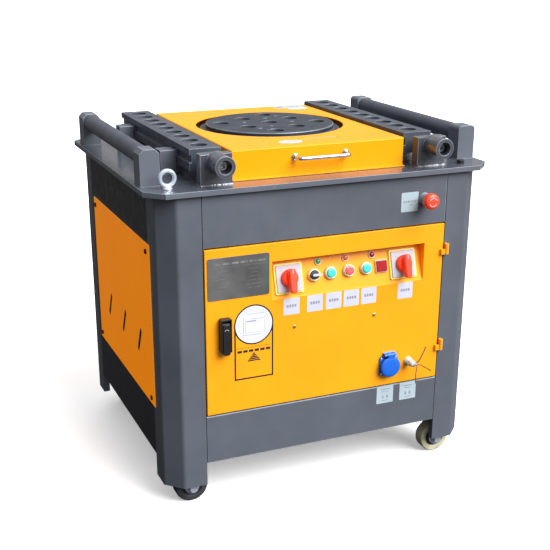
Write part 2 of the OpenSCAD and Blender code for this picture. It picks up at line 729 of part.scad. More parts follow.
module door() color(yellow) stand() {
    // The pan's back runs parallel to its sloped floor
    slope = tan(recess_tilt);
    pan_back = [for (z = [recess_z[0] - 2, recess_z[1] + 2])
        [pan_t / cos(recess_tilt) + (z - recess_z[0]) * slope, z]];
    difference() {
        union() {
            block([-door_half, door_front, door_z0], [door_half, door_front + door_t, door_z1]);
            for (z = [door_z0, door_z1 - door_t])
                block([-door_half, door_front, z], [door_half, door_fold, z + door_t]);
            for (x = [-door_half, door_half - door_t])
                block([x, door_front, door_z0], [x + door_t, door_fold, door_z1]);
            // Roof, side walls and sloped floor of the control recess
            translate([recess_x[0] - 2, 0, 0]) rotate([90, 0, 90])
                linear_extrude(recess_x[1] - recess_x[0] + 4)
                    polygon([[door_front, recess_z[0] - 2], [door_front, recess_z[1] + 2],
                        pan_back[1], pan_back[0]]);
            for (z = hinge_z) {
                middle = (z[0] + z[1]) / 2;
                rod_z(hinge_xy, z[0], middle - 0.25, hinge_r);
                block([door_half - 8, hinge_xy[1] - 2, z[0]], [hinge_xy[0], door_front + 0.5, middle - 0.25]);
            }
        }
        translate([recess_x[0], 0, 0]) rotate([90, 0, 90]) linear_extrude(recess_x[1] - recess_x[0])
            polygon([[door_front - 1, recess_z[0] - 0.01], [door_front - 1, recess_z[1]],
                [recess_d, recess_z[1]], [0, recess_z[0]]]);
        for (z = hinge_z) rod_z(hinge_xy, z[0] - 1, z[1], hinge_pin_r + fit);
    }
}

// Latch: a channel plate and the handle that swings out of it
module latch_plate() color(black) stand() difference() {
    block([latch_x - latch_half, -19, latch_z[0]], [latch_x + latch_half, door_front, latch_z[1]]);
    block([latch_x - 9.5, -20, latch_z[0] - 1], [latch_x + 9.5, -8, latch_z[1] - 4]);
    rod_x([-13.5, latch_axis_z], latch_x - 11.5, latch_x + 11.5, 2.5 + fit);
}
module latch_handle() color(black) stand() {
    w = 9;
    z0 = latch_z[0] - 6 + w;
    block([latch_x - w, -20.5, z0], [latch_x + w, -8.5, latch_axis_z + 1]);
    rod_y([latch_x, z0], -20.5, -8.5, w);
    rod_x([-13.5, latch_axis_z], latch_x - 11, latch_x + 11, 2.5);
}

module nameplate() color(steel) stand() {
    corner = 6;
    low = [-296.5, 509];
    high = [-149, 606.5];
    translate([0, door_front, 0]) rotate([90, 0, 0]) linear_extrude(1.2) {
        translate(low + [corner, 0]) square(high - low - [2 * corner, 0]);
        translate(low + [0, corner]) square(high - low - [0, 2 * corner]);
        for (x = [low[0] + corner, high[0] - corner], z = [low[1] + corner, high[1] - corner])
            translate([x, z]) circle(r = corner);
    }
}

// Cam switches: a square plate in front of the recess floor, the switch body behind the pan
switch_half = 35;
module cam_switches() color(white) stand() for (x = plate_x) on_recess(x, control_s) {
    difference() {
        translate([-switch_half, -switch_half, 0]) cube([2 * switch_half, 2 * switch_half, 8]);
        translate([0, 0, 1]) cylinder(h = 8, r = 4 + fit);
    }
    translate([-24, -24, -pan_t - 52]) cube([48, 48, 52]);
}
module cam_handle(x) color(red) stand() on_recess(x, control_s) {
    translate([0, 0, 2]) cylinder(h = 8, r = 4);
    translate([0, 0, 8.5]) cylinder(h = 9, r = 20);
    translate([-7, -27, 16]) cube([14, 42, 18]);
    for (y = [-27, 15]) translate([0, y, 16]) cylinder(h = 18, r = 7);
}
module cam_handle_left() cam_handle(plate_x[0]);
module cam_handle_right() cam_handle(plate_x[1]);

// Bezel rings of the selector and the push-buttons, each with a contact block behind the pan
module button_bezels() color(steel) stand() for (x = concat([selector_x], button_x))
    on_recess(x, control_s) {
        difference() {
            union() {
                cylinder(h = 6, r = bezel_r);
                translate([0, 0, 5]) cylinder(h = 3, r = bezel_r - 1.5);
            }
            translate([0, 0, 1]) cylinder(h = 9, r = cap_r + fit);
        }
        translate([-14, -18, -pan_t - 40]) cube([28, 36, 40]);
    }
module selector_knob() color(black) stand() on_recess(selector_x, control_s) {
    translate([0, 0, 1.5]) cylinder(h = 9, r = cap_r);
    translate([-9, -3.5, 10]) cube([24, 7, 9]);
    translate([-9, 0, 10]) cylinder(h = 9, r = 3.5);
}
module button(x, tint) color(tint) stand() on_recess(x, control_s) {
    translate([0, 0, 5.5]) cylinder(h = 5, r = cap_r);
    translate([0, 0, 10]) cylinder(h = 1, r = cap_r - 1.5);
}
module button_left() button(button_x[0], green);
module button_middle() button(button_x[1], red);
module button_right() button(button_x[2], green);

// Three round lamps and one square one
module indicator_lamps() color(red) stand() {
    for (x = lamp_x) on_recess(x, lamp_s) {
        cylinder(h = 3, r = 8.8);
        translate([0, 0, 2.5]) cylinder(h = 3.5, r = 6);
    }
    on_recess(square_x, control_s + 1) {
        translate([-15.5, -15, 0]) cube([31, 30, 4]);
        translate([-13, -12.5, 3]) cube([26, 25, 5]);
    }
}

// Emergency stop: collar and switch body on the top panel, and the head that travels
module emergency_stop_base() color(black) stand() difference() {
    union() {
        rod_y([stop_x, stop_z], -13, 0, 13);
        rod_y([stop_x, stop_z], -4, 0, 15);
        rod_y([stop_x, stop_z], -1, 45, 11);
    }
    rod_y([stop_x, stop_z], -14, 6, 9 + fit);
}
module emergency_stop_head() color(red) stand()
    translate([stop_x, 0, stop_z]) rotate([90, 0, 0]) rotate_extrude($fn = 72)
        polygon([[0, 2], [9, 2], [9, 20], [15, 20], [19, 26], [19, 34], [17.5, 39], [13, stop_reach],
            [0, stop_reach]]);

// Socket outlet with a flip lid that hangs from a hinge block
module socket_outlet() color(blue) stand() difference() {
    union() {
        block([socket_x - 25, -6, socket_z - 25], [socket_x + 25, door_front, socket_z + 25]);
        rod_y([socket_x, socket_z], -14, -5, 23);
        for (x = [socket_x - 15.5, socket_x + 8.5]) {
            rod_x([-12, socket_z + 30], x, x + 7, 4);
            block([x, -12, socket_z + 26], [x + 7, -3, socket_z + 34]);
        }
        block([socket_x - 15.5, -6, socket_z + 20], [socket_x + 15.5, door_front, socket_z + 35]);
    }
    rod_y([socket_x, socket_z], -15, -5, 19);
    rod_x([-12, socket_z + 30], socket_x - 20, socket_x + 20, 2 + fit);
}
module socket_lid() color(blue) stand() {
    rod_y([socket_x, socket_z], -20, -14.5, socket_lid_r);
    rod_x([-12, socket_z + 30], socket_x - 8, socket_x + 8, 4);
    block([socket_x - 8, -19, socket_z + 20], [socket_x + 8, -14.5, socket_z + 32]);
    rod_x([-12, socket_z + 30], socket_x - 15, socket_x + 15, 2);
}

// Cable gland with a stub of sheath
module cable_gland() color(white) stand() {
    from = [gland_x, -33, gland_z];
    run = sheath_end - from;
    rod_y([gland_x, gland_z], -8, door_front, 10.5);
    rod_y([gland_x, gland_z], -26, -7, 9);
    translate([gland_x, -25, gland_z]) rotate([90, 0, 0]) cylinder(h = 9, r1 = 9, r2 = 6);
    translate(from) rotate([0, acos(run[2] / norm(run)), atan2(run[1], run[0])])
        cylinder(h = norm(run), r = sheath_r);
}
module wire_blue() color(blue) stand() swept_tube(blue_route, wire_r);
module wire_brown() color([0.4, 0.2, 0.08]) stand() swept_tube(brown_route, wire_r);
module wire_grey() color([0.45, 0.4, 0.36]) stand() swept_tube(grey_route, wire_r);

table_plate();
front_legs();
rear_legs();
front_panels();
frame_sheets();
inner_supports();
cover_panels();
panel_screws();
caster_forks();
wheel_front_left();
wheel_front_right();
wheel_rear_left();
wheel_rear_right();
roller_posts();
roller_left();
roller_right();
guide_blocks();
socket_bar_left();
socket_bar_right();
screw_blocks();
adjusting_screw_left();
adjusting_screw_right();
lifting_hardware();
lid();
lid_handle();
hinge_brackets();
work_disc();
main_spindle();
main_gear();
gearbox_case();
gearbox_cover();
third_shaft();
second_shaft();
input_shaft();
input_pulley();
v_belt();
motor_pulley();
motor();
control_box();
door();
latch_plate();
latch_handle();
nameplate();
cam_switches();
cam_handle_left();
cam_handle_right();
button_bezels();
selector_knob();
button_left();
button_middle();
button_right();
indicator_lamps();
emergency_stop_base();
emergency_stop_head();
socket_outlet();
socket_lid();
cable_gland();
wire_blue();
wire_brown();
wire_grey();
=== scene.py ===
import json
import math
import random

import bmesh
import bpy
from mathutils import Matrix, Vector


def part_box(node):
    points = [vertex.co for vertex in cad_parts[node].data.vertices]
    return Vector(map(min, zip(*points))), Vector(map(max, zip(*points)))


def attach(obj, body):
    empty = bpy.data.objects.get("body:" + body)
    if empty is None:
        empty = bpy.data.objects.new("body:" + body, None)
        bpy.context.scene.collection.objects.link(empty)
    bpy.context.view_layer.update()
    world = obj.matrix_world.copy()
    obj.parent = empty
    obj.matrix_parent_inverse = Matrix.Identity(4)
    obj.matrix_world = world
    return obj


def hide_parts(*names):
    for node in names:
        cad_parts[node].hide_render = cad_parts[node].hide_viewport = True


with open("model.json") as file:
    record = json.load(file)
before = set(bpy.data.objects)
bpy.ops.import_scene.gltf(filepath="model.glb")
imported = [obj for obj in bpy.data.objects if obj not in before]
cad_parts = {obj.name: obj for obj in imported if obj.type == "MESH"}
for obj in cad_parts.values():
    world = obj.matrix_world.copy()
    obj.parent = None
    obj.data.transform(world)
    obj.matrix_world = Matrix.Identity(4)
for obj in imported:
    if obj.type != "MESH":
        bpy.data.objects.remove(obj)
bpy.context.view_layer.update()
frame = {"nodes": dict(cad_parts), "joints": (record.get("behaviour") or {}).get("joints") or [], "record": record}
scene = bpy.context.scene
joints = {j["name"]: j for j in frame["joints"]}
front_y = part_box("front_legs")[0].y
MM = 0.001
SIDES = (-1, 1)

# Places in millimetres, as in the CAD part: x from the middle, y from the front face, z from the floor.
TABLE_Z = 760
DOOR_FACE = -2
SCREW_X, SCREW_Z = (-258.5, 274.5), 809
HANDLE_X, HANDLE_Z = 63, 802
EYE_X, EYE_Y = -368, 35
STOP_X, STOP_Z = 243, 691
SOCKET_X, SOCKET_Z = 165, 284
SOCKET_PIN_Z = 314
GLAND_X, GLAND_Z = 220, 287
LATCH_X, LATCH_Z = -258.5, 427
MOTOR_X, MOTOR_Y = 255, 400

# Places on the control recess: x, and the height of each row up its sloped floor.
CONTROL_ROW, LAMP_ROW = 43.5, 73.5
CAM_X = {"left": -97, "right": 199}
SELECTOR_X = -33.5
BUTTONS = (("left", 9, "green_plastic"), ("middle", 56, "rose_plastic"), ("right", 101, "green_plastic"))
LAMPS = ((-19.5, "green"), (51, "orange"), (120, "red"))

# Distances in metres within which two places on a mesh count as the same; SAME is the stricter one.
NEAR, SAME = 1e-4, 1e-5

WHEEL_CENTRES = [Vector(j["pos_m"]) for name, j in joints.items() if name.startswith("wheel_")]


# ---------- places ----------

def at(x, y, z):
    """Point from millimetres, with y counted from the cabinet's front face."""
    return Vector((x * MM, front_y + y * MM, z * MM))


def place(origin, across, outward):
    """Frame with its X along across and its Z along outward."""
    x, z = Vector(across).normalized(), Vector(outward).normalized()
    turn = Matrix((x, z.cross(x), z)).transposed().to_4x4()
    return Matrix.Translation(origin) @ turn


def on_front(x, z, y=DOOR_FACE):
    """Frame on a front face: X to the right, Y up, Z out of the face."""
    return place(at(x, y, z), (1, 0, 0), (0, -1, 0))


def on_top(x, y, z):
    """Frame that faces up."""
    return place(at(x, y, z), (1, 0, 0), (0, 0, 1))


recess_out = Vector(joints["cam_left_turn"]["axis"])
recess_up = recess_out.cross(Vector((1, 0, 0)))
recess_foot = at(0, 0, 493)


def on_recess(x, s):
    """Frame on the sloped floor of the control recess, s millimetres up from its lower edge."""
    return place(recess_foot + Vector((x * MM, 0, 0)) + recess_up * s * MM, (1, 0, 0), recess_out)


# ---------- materials ----------

def rgb(*display):
    """Linear colour from three display values of 0 to 255."""
    return tuple(c / 255 / 12.92 if c <= 10 else ((c / 255 + 0.055) / 1.055) ** 2.4 for c in display) + (1.0,)


def shade(color, factor):
    """The colour made darker or lighter, up to full white."""
    return tuple(min(1.0, c * factor) for c in color[:3]) + (1.0,)


def node(tree, kind, **inputs):
    """New node with values on its inputs, whose names have _ for a space."""
    made = tree.nodes.new(kind)
    for name, value in inputs.items():
        made.inputs[name.replace("_", " ")].default_value = value
    return made


def new_material(name):
    made = bpy.data.materials.new(name)
    made.use_nodes = True
    return made, made.node_tree, made.node_tree.nodes["Principled BSDF"]


def grain(tree, scale, detail=3.0, stretch=(1, 1, 1)):
    """Noise over the object's own coordinates, in metres."""
    where = tree.nodes.new("ShaderNodeTexCoord")
    mapping = node(tree, "ShaderNodeMapping", Scale=stretch)
    noise = node(tree, "ShaderNodeTexNoise", Scale=scale, Detail=detail)
    tree.links.new(where.outputs["Object"], mapping.inputs["Vector"])
    tree.links.new(mapping.outputs["Vector"], noise.inputs["Vector"])
    return noise.outputs["Fac"]


def ramp(tree, value, low, high, start=0.3, stop=0.7):
    """The value spread from start and stop to low and high."""
    made = node(tree, "ShaderNodeMapRange", From_Min=start, From_Max=stop, To_Min=low, To_Max=high)
    tree.links.new(value, made.inputs["Value"])
    return made.outputs["Result"]


def tinted(tree, value, first, second):
    """Colour between two by the value; the first is a colour or another node's output."""
    mix = tree.nodes.new("ShaderNodeMix")
    mix.data_type = "RGBA"
    if isinstance(first, tuple):
        mix.inputs["A"].default_value = first
    else:
        tree.links.new(first, mix.inputs["A"])
    mix.inputs["B"].default_value = second
    tree.links.new(value, mix.inputs["Factor"])
    return mix.outputs["Result"]


def bumped(tree, height, strength, distance):
    """Bump node on the height, in metres."""
    raised = node(tree, "ShaderNodeBump", Strength=strength, Distance=distance)
    tree.links.new(height, raised.inputs["Height"])
    return raised


def finish_of(name, color, rough, metal=0.0, vary=0.12, cloud=7.0, fine=900.0, bump=0.04, coat=0.0,
              stretch=(1, 1, 1), glow=0.0, specks=None, shine=0.5):
    """Surface with clouded colour, uneven gloss and a fine bump; specks is a colour for small spots."""
    made, tree, shader = new_material(name)
    clouds = ramp(tree, grain(tree, cloud), 0.0, 1.0)
    colour = tinted(tree, clouds, shade(color, 1 - vary), shade(color, 1 + vary))
    if specks:
        spots = ramp(tree, grain(tree, 130.0, 6.0), 0.0, 0.75, 0.62, 0.74)
        colour = tinted(tree, spots, colour, specks)
    tree.links.new(colour, shader.inputs["Base Color"])
    tree.links.new(ramp(tree, grain(tree, 40.0, 4.0, stretch), rough * 0.82, min(1.0, rough * 1.2)),
                   shader.inputs["Roughness"])
    raised = bumped(tree, grain(tree, fine, 2.0, stretch), bump, 0.001)
    tree.links.new(raised.outputs["Normal"], shader.inputs["Normal"])
    shader.inputs["Metallic"].default_value = metal
    shader.inputs["Specular IOR Level"].default_value = shine
    shader.inputs["Coat Weight"].default_value = coat
    shader.inputs["Coat Roughness"].default_value = 0.08
    if glow:
        shader.inputs["Emission Color"].default_value = color
        shader.inputs["Emission Strength"].default_value = glow
    return made


def turned_metal(name, color, rough, centre, pitch):
    """Metal with fine turning rings about a vertical axis."""
    made = finish_of(name, color, rough, metal=0.35, vary=0.22, cloud=18.0, fine=500.0, bump=0.12,
                     specks=shade(color, 1.2))
    tree = made.node_tree
    shader = tree.nodes["Principled BSDF"]
    where = tree.nodes.new("ShaderNodeTexCoord")
    mapping = node(tree, "ShaderNodeMapping", Location=(-centre.x, -centre.y, 0.0))
    rings = node(tree, "ShaderNodeTexWave", Scale=1 / pitch / 20, Distortion=0.4)
    rings.wave_type = "RINGS"
    rings.rings_direction = "Z"
    raised = bumped(tree, rings.outputs["Fac"], 0.12, 0.0004)
    tree.links.new(where.outputs["Object"], mapping.inputs["Vector"])
    tree.links.new(mapping.outputs["Vector"], rings.inputs["Vector"])
    tree.links.new(shader.inputs["Normal"].links[0].from_socket, raised.inputs["Normal"])
    tree.links.new(raised.outputs["Normal"], shader.inputs["Normal"])
    return made


# Each finish: its display colour, its roughness, and what else finish_of gets.
PAINTS = {
    "grey_paint": ((86, 91, 101), 0.48, dict(vary=0.10, bump=0.10, fine=700.0, coat=0.06, shine=0.4)),
    "plate_paint": ((78, 83, 93), 0.24, dict(vary=0.05, cloud=5.0, bump=0.006, fine=400.0, coat=0.55)),
    # Pale grey, mostly on the rounded edges of grey parts: partly wear, partly a painted highlight where the edges
    # catch light; the stop's base is this grey all over.
    "grey_edge": ((122, 128, 140), 0.42, dict(vary=0.18, cloud=40.0, bump=0.05)),
    # Lighter copy of the grey paint for the roller posts and the table plate's side faces: painted light on faces
    # that look brighter.
    "post_paint": ((94, 99, 110), 0.44, dict(vary=0.08, bump=0.08, fine=700.0, coat=0.1)),
    "block_paint": ((68, 72, 81), 0.2, dict(vary=0.10, bump=0.03, fine=600.0, coat=0.7)),
    # Dark grey for the side sheets, the backs of the covers and the walls of their slots: painted shade that makes
    # the shaded sides and the slots look dark.
    "side_paint": ((46, 46, 51), 0.5, dict(vary=0.07, cloud=4.0, bump=0.06, fine=700.0, shine=0.3)),
    "yellow_paint": ((250, 162, 20), 0.36, dict(vary=0.05, bump=0.05, fine=500.0, coat=0.08, shine=0.35)),
    "lid_paint": ((250, 160, 10), 0.34, dict(vary=0.04, bump=0.04, fine=500.0, shine=0.2)),
    # Orange that glows though it is no lamp: painted light that brightens the covers on the shaded sides.
    "cover_paint": ((255, 142, 0), 0.3, dict(vary=0.08, cloud=5.0, bump=0.03, fine=500.0, shine=0.06,
                                             glow=0.42)),
    # Lighter orange that glows on the covers' rounded edges: a painted highlight.
    "cover_edge": ((255, 190, 96), 0.36, dict(vary=0.08, cloud=30.0, glow=0.35)),
    "dark_steel": ((74, 80, 91), 0.40, dict(metal=0.25, vary=0.2, cloud=14.0, bump=0.10,
                                            specks=rgb(92, 97, 106))),
    "roller_paint": ((60, 66, 80), 0.36, dict(vary=0.16, cloud=20.0, bump=0.08, coat=0.1,
                                              specks=rgb(80, 85, 96))),
    # Lighter steel on the rounded edges of the bars and the disc: partly worn bare steel, partly a painted
    # highlight.
    "steel_edge": ((112, 118, 128), 0.4, dict(metal=0.3, vary=0.25, cloud=30.0)),
    "bore_steel": ((70, 75, 84), 0.5, dict(metal=0.2, vary=0.2, cloud=50.0, bump=0.1, stretch=(1, 1, 20))),
    "machined_steel": ((176, 176, 178), 0.28, dict(metal=0.95, vary=0.12, stretch=(1, 1, 30), bump=0.08)),
    "zinc_steel": ((176, 179, 184), 0.30, dict(metal=0.9, vary=0.16, cloud=60.0)),
    "bright_zinc": ((204, 214, 230), 0.26, dict(metal=0.55, vary=0.08, cloud=60.0)),
    "dark_bolt": ((40, 41, 46), 0.4, dict(metal=0.4, vary=0.2, cloud=60.0)),
    "brass_screw": ((206, 186, 140), 0.3, dict(metal=0.85, vary=0.12, cloud=80.0)),
    "chrome": ((206, 206, 212), 0.12, dict(metal=1.0, vary=0.02, bump=0.01)),
    "cast_housing": ((84, 88, 94), 0.6, dict(metal=0.2, vary=0.2, fine=260.0, bump=0.35)),
    "motor_housing": ((88, 96, 112), 0.5, dict(vary=0.15, fine=260.0, bump=0.25)),
    "belt_rubber": ((34, 34, 36), 0.75, dict(vary=0.2, bump=0.3)),
    "black_wheel": ((48, 49, 54), 0.55, dict(vary=0.18, cloud=40.0, bump=0.15, specks=rgb(80, 78, 74))),
    "cream_wheel": ((196, 191, 164), 0.5, dict(vary=0.28, cloud=24.0, bump=0.15, specks=rgb(110, 104, 88))),
    "plate_metal": ((104, 104, 105), 0.34, dict(metal=0.4, vary=0.5, cloud=9.0, stretch=(60, 1, 1),
                                                bump=0.12)),
    "plate_mark": ((126, 126, 128), 0.4, dict(metal=0.3, vary=0.35, cloud=160.0)),
    "bezel_metal": ((222, 206, 176), 0.28, dict(metal=0.3, vary=0.08, cloud=80.0)),
    "black_plastic": ((24, 24, 27), 0.42, dict(vary=0.15, bump=0.12, fine=1200.0)),
    "white_plastic": ((179, 177, 186), 0.35, dict(vary=0.03, coat=0.1)),
    "gland_plastic": ((214, 210, 200), 0.4, dict(vary=0.05, bump=0.08)),
    # Glows though it is no lamp: painted light on the cam switch rims.
    "cream_plastic": ((255, 232, 110), 0.38, dict(vary=0.04, coat=0.1, glow=0.12)),
    # Glows though it is no lamp: painted light on the cam switch handles.
    "red_plastic": ((255, 62, 24), 0.34, dict(vary=0.06, coat=0.15, glow=0.16)),
    "stop_red": ((250, 74, 46), 0.3, dict(vary=0.05, coat=0.3)),
    "rose_plastic": ((222, 78, 84), 0.3, dict(vary=0.05, coat=0.3)),
    "green_plastic": ((38, 186, 180), 0.3, dict(vary=0.05, coat=0.3)),
    "blue_plastic": ((24, 98, 206), 0.36, dict(vary=0.06, coat=0.2)),
    "pale_blue": ((84, 146, 222), 0.36, dict(vary=0.05)),
    "lamp_plastic": ((232, 204, 184), 0.3, dict(vary=0.04, coat=0.2)),
    "lens_green": ((24, 150, 78), 0.2, dict(vary=0.12, cloud=200.0, coat=0.3, glow=0.14)),
    "lens_orange": ((196, 84, 44), 0.2, dict(vary=0.12, cloud=200.0, coat=0.3, glow=0.12)),
    "lens_red": ((150, 10, 18), 0.2, dict(vary=0.2, cloud=120.0, coat=0.2, glow=0.06)),
    "sticker": ((198, 200, 216), 0.42, dict(vary=0.04, cloud=30.0, bump=0.02)),
    "white_paper": ((218, 220, 231), 0.42, dict(vary=0.03, cloud=30.0, bump=0.02)),
    "blue_sticker": ((170, 188, 196), 0.42, dict(vary=0.04, cloud=30.0, bump=0.02)),
    "ink": ((34, 32, 34), 0.5, dict(vary=0.1)),
    "faint_ink": ((140, 142, 154), 0.5, dict(vary=0.25, cloud=200.0)),
    "blue_ink": ((142, 150, 176), 0.5, dict(vary=0.1)),
    "pink_ink": ((232, 176, 172), 0.5, dict(vary=0.1, cloud=90.0)),
    "weld": ((150, 152, 158), 0.38, dict(metal=0.45, vary=0.35, cloud=140.0, bump=0.5, fine=400.0,
                                         specks=rgb(226, 226, 230))),
    "wire_blue": ((20, 34, 78), 0.45, dict(vary=0.08, bump=0.03)),
    "wire_brown": ((124, 70, 38), 0.45, dict(vary=0.08, bump=0.03)),
    "wire_grey": ((116, 104, 92), 0.45, dict(vary=0.08, bump=0.03)),
}
FINISHES = {name: finish_of(name, rgb(*color), rough, **rest)
            for name, (color, rough, rest) in PAINTS.items()}
FINISHES["turned_disc"] = turned_metal("turned_disc", rgb(52, 60, 70), 0.42,
                                       Vector(joints["spindle_turn"]["pos_m"]), 0.0012)
SLOTS = {s["node"]: s["material_slot"] for s in frame["record"]["subparts"]}
BODY_OF = {n: b for b, members in frame["record"]["behaviour"]["bodies"].items() for n in members}


# ---------- mesh tools ----------

def rounded(points, radius, steps=4, closed=True):
    """The line with each corner replaced by a short arc."""
    points = [Vector(p) for p in points]
    count = len(points)
    result = []
    for i, corner in enumerate(points):
        if not closed and i in (0, count - 1):
            result.append(corner)
            continue
        before, after = points[i - 1] - corner, points[(i + 1) % count] - corner
        reach = min(radius, before.length * 0.499, after.length * 0.499)
        start, end = corner + before.normalized() * reach, corner + after.normalized() * reach
        for k in range(steps + 1):
            t = k / steps
            result.append(start * (1 - t) ** 2 + corner * 2 * t * (1 - t) + end * t * t)
    return result


def rect(width, height, radius=0.0, steps=4):
    """Rectangle about the origin, in millimetres."""
    w, h = width / 2, height / 2
    corners = [(-w, -h, 0), (w, -h, 0), (w, h, 0), (-w, h, 0)]
    return rounded(corners, radius, steps) if radius else [Vector(c) for c in corners]


def disc(radius, count=48, centre=(0, 0)):
    turn = 2 * math.pi / count
    return [Vector((centre[0] + radius * math.cos(k * turn), centre[1] + radius * math.sin(k * turn), 0))
            for k in range(count)]


def moved(outline, x, y):
    return [p + Vector((x, y, 0)) for p in outline]


def oval(radius, flat, count=48, centre=(0, 0)):
    """Disc pressed flat to a share of its height."""
    return [Vector((p.x, p.y * flat, 0)) for p in disc(radius, count, centre)]


def arc_band(outer, inner, start, step, count):
    """Part of a ring between two radii; the angles are in degrees."""
    turns = [math.radians(start + step * k) for k in range(count)]
    return [Vector((r * math.cos(a), r * math.sin(a), 0))
            for r, order in ((outer, turns), (inner, turns[::-1])) for a in order]


def add_slab(bm, outline, z0, z1, where):
    """Extrudes a flat outline in millimetres between two heights of its frame."""
    low = [bm.verts.new(where @ Vector((p.x * MM, p.y * MM, z0 * MM))) for p in outline]
    high = [bm.verts.new(where @ Vector((p.x * MM, p.y * MM, z1 * MM))) for p in outline]
    bm.faces.new(list(reversed(low)))
    bm.faces.new(high)
    count = len(outline)
    for i in range(count):
        j = (i + 1) % count
        bm.faces.new((low[i], low[j], high[j], high[i]))


def add_lathe(bm, profile, where, segments=64, closed=False):
    """Revolves (radius, height) points in millimetres about the frame's Z axis."""
    rings = []
    for r, h in profile:
        if r == 0:
            rings.append([bm.verts.new(where @ Vector((0, 0, h * MM)))])
            continue
        rings.append([bm.verts.new(where @ Vector((r * MM * math.cos(2 * math.pi * k / segments),
                                                   r * MM * math.sin(2 * math.pi * k / segments), h * MM)))
                      for k in range(segments)])
    pairs = list(zip(rings, rings[1:])) + ([(rings[-1], rings[0])] if closed else [])
    for a, b in pairs:
        for k in range(segments):
            m = (k + 1) % segments
            quad = [a[k % len(a)], a[m % len(a)], b[m % len(b)], b[k % len(b)]]
            corners = [v for i, v in enumerate(quad) if v not in quad[:i]]
            if len(corners) > 2:
                bm.faces.new(corners)


def add_ball(bm, centre, radius, scale=(1, 1, 1)):
    """Small rounded lump; centre in metres, radius in millimetres."""
    made = bmesh.ops.create_icosphere(bm, subdivisions=1, radius=radius * MM)
    for v in made["verts"]:
        v.co = centre + Vector(a * b for a, b in zip(v.co, scale))


def add_tube(bm, path, radius, sides=16, closed=False):
    """Sweeps a circle along points in metres; radius is in millimetres, a number or a function of 0 to 1."""
    count = len(path)
    rings = []
    side = None
    for i, point in enumerate(path):
        ahead = path[(i + 1) % count] if closed else path[min(i + 1, count - 1)]
        behind = path[i - 1] if closed else path[max(i - 1, 0)]
        along = (ahead - behind).normalized()
        if side is None:
            side = along.orthogonal().normalized()
        side = (side - along * side.dot(along)).normalized()
        other = along.cross(side)
        size = (radius(i / count) if callable(radius) else radius) * MM
        rings.append([bm.verts.new(point + side * size * math.cos(2 * math.pi * k / sides)
                                   + other * size * math.sin(2 * math.pi * k / sides)) for k in range(sides)])
    pairs = list(zip(rings, rings[1:])) + ([(rings[-1], rings[0])] if closed else [])
    for a, b in pairs:
        for k in range(sides):
            m = (k + 1) % sides
            bm.faces.new((a[k], a[m], b[m], b[k]))
    if not closed:
        bm.faces.new(list(reversed(rings[0])))
        bm.faces.new(rings[-1])


def add_object(name, data):
    made = bpy.data.objects.new(name, data)
    scene.collection.objects.link(made)
    return made


def piece(name, bm, body, finish, slot=None, bevel=0.0, segments=2, replaces=(), edge=None, angle=35.0,
          weighted=False, inner=None):
    """Makes the object on its body, its edges rounded by bevel millimetres where they turn more than angle.

    edge is the finish of the rounded edges, and inner the finish of the faces with material index 2.
    """
    bmesh.ops.recalc_face_normals(bm, faces=bm.faces)
    mesh = bpy.data.meshes.new(name)
    bm.to_mesh(mesh)
    bm.free()
    mesh.shade_smooth()
    made = add_object(name, mesh)
    mesh.materials.append(FINISHES[finish])
    if bevel:
        cut = made.modifiers.new("edges", "BEVEL")
        cut.width = bevel * MM
        cut.segments = segments
        cut.limit_method = "WEIGHT" if weighted else "ANGLE"
        cut.angle_limit = math.radians(angle)
        cut.use_clamp_overlap = False
        if edge or inner:
            mesh.materials.append(FINISHES[edge or finish])
            cut.material = 1
        if inner:
            mesh.materials.append(FINISHES[inner])
        even = made.modifiers.new("normals", "WEIGHTED_NORMAL")
        even.weight = 80
    else:
        mesh.set_sharp_from_angle(angle=math.radians(angle))
    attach(made, body)
    if replaces:
        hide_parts(*replaces)
    return made


def slab_piece(name, outline, z0, z1, where, body, finish, **rest):
    bm = bmesh.new()
    add_slab(bm, outline, z0, z1, where)
    piece(name, bm, body, finish, **rest)


def lathe_piece(name, profile, where, segments, body, finish, closed=False, **rest):
    bm = bmesh.new()
    add_lathe(bm, profile, where, segments, closed)
    piece(name, bm, body, finish, **rest)


def bars_piece(name, where, bars, height, body, finish):
    bm = bmesh.new()
    add_bars(bm, where, bars, height)
    piece(name, bm, body, finish)


# The middle and the radius of each bore mount, in metres.
BORES = [(Vector(m["pos_m"]), m["dims"]["r_mm"] * MM)
         for m in frame["record"]["mounts"] if m["kind"] == "bore"]


def is_bore_wall(face):
    """Whether a face is part of a bore's wall."""
    middle = face.calc_center_median()
    return abs(face.normal.z) < 0.1 and any((middle - p).xy.length < r + 0.5 * MM for p, r in BORES)


def dressed(name, width=0.8, segments=2, finish=None, edge=None, wide=0.0, wide_test=None, angle=35.0,
            inner=None, inner_test=None):
    """Copy of a CAD node with merged flat faces and rounded edges.

    wide_test picks the edges that get the wide radius, and inner_test the faces that get the inner finish.
    """
    bm = bmesh.new()
    bm.from_mesh(frame["nodes"][name].data)
    bmesh.ops.remove_doubles(bm, verts=bm.verts, dist=2e-6)
    bmesh.ops.dissolve_limit(bm, angle_limit=math.radians(0.6), verts=bm.verts, edges=bm.edges)
    if wide_test:
        layer = bm.edges.layers.float.new("bevel_weight_edge")
        for e in bm.edges:
            if len(e.link_faces) == 2 and e.calc_face_angle(0.0) > math.radians(angle):
                e[layer] = 1.0 if wide_test(e) else width / wide
    if inner_test:
        for face in bm.faces:
            if inner_test(face):
                face.material_index = 2
    return piece("look_" + name, bm, BODY_OF[name], finish or SLOTS[name], slot=SLOTS[name],
                 bevel=wide if wide_test else width, segments=segments, replaces=(name,), edge=edge,
                 angle=angle, weighted=bool(wide_test), inner=inner)


# ---------- camera, light and floor ----------

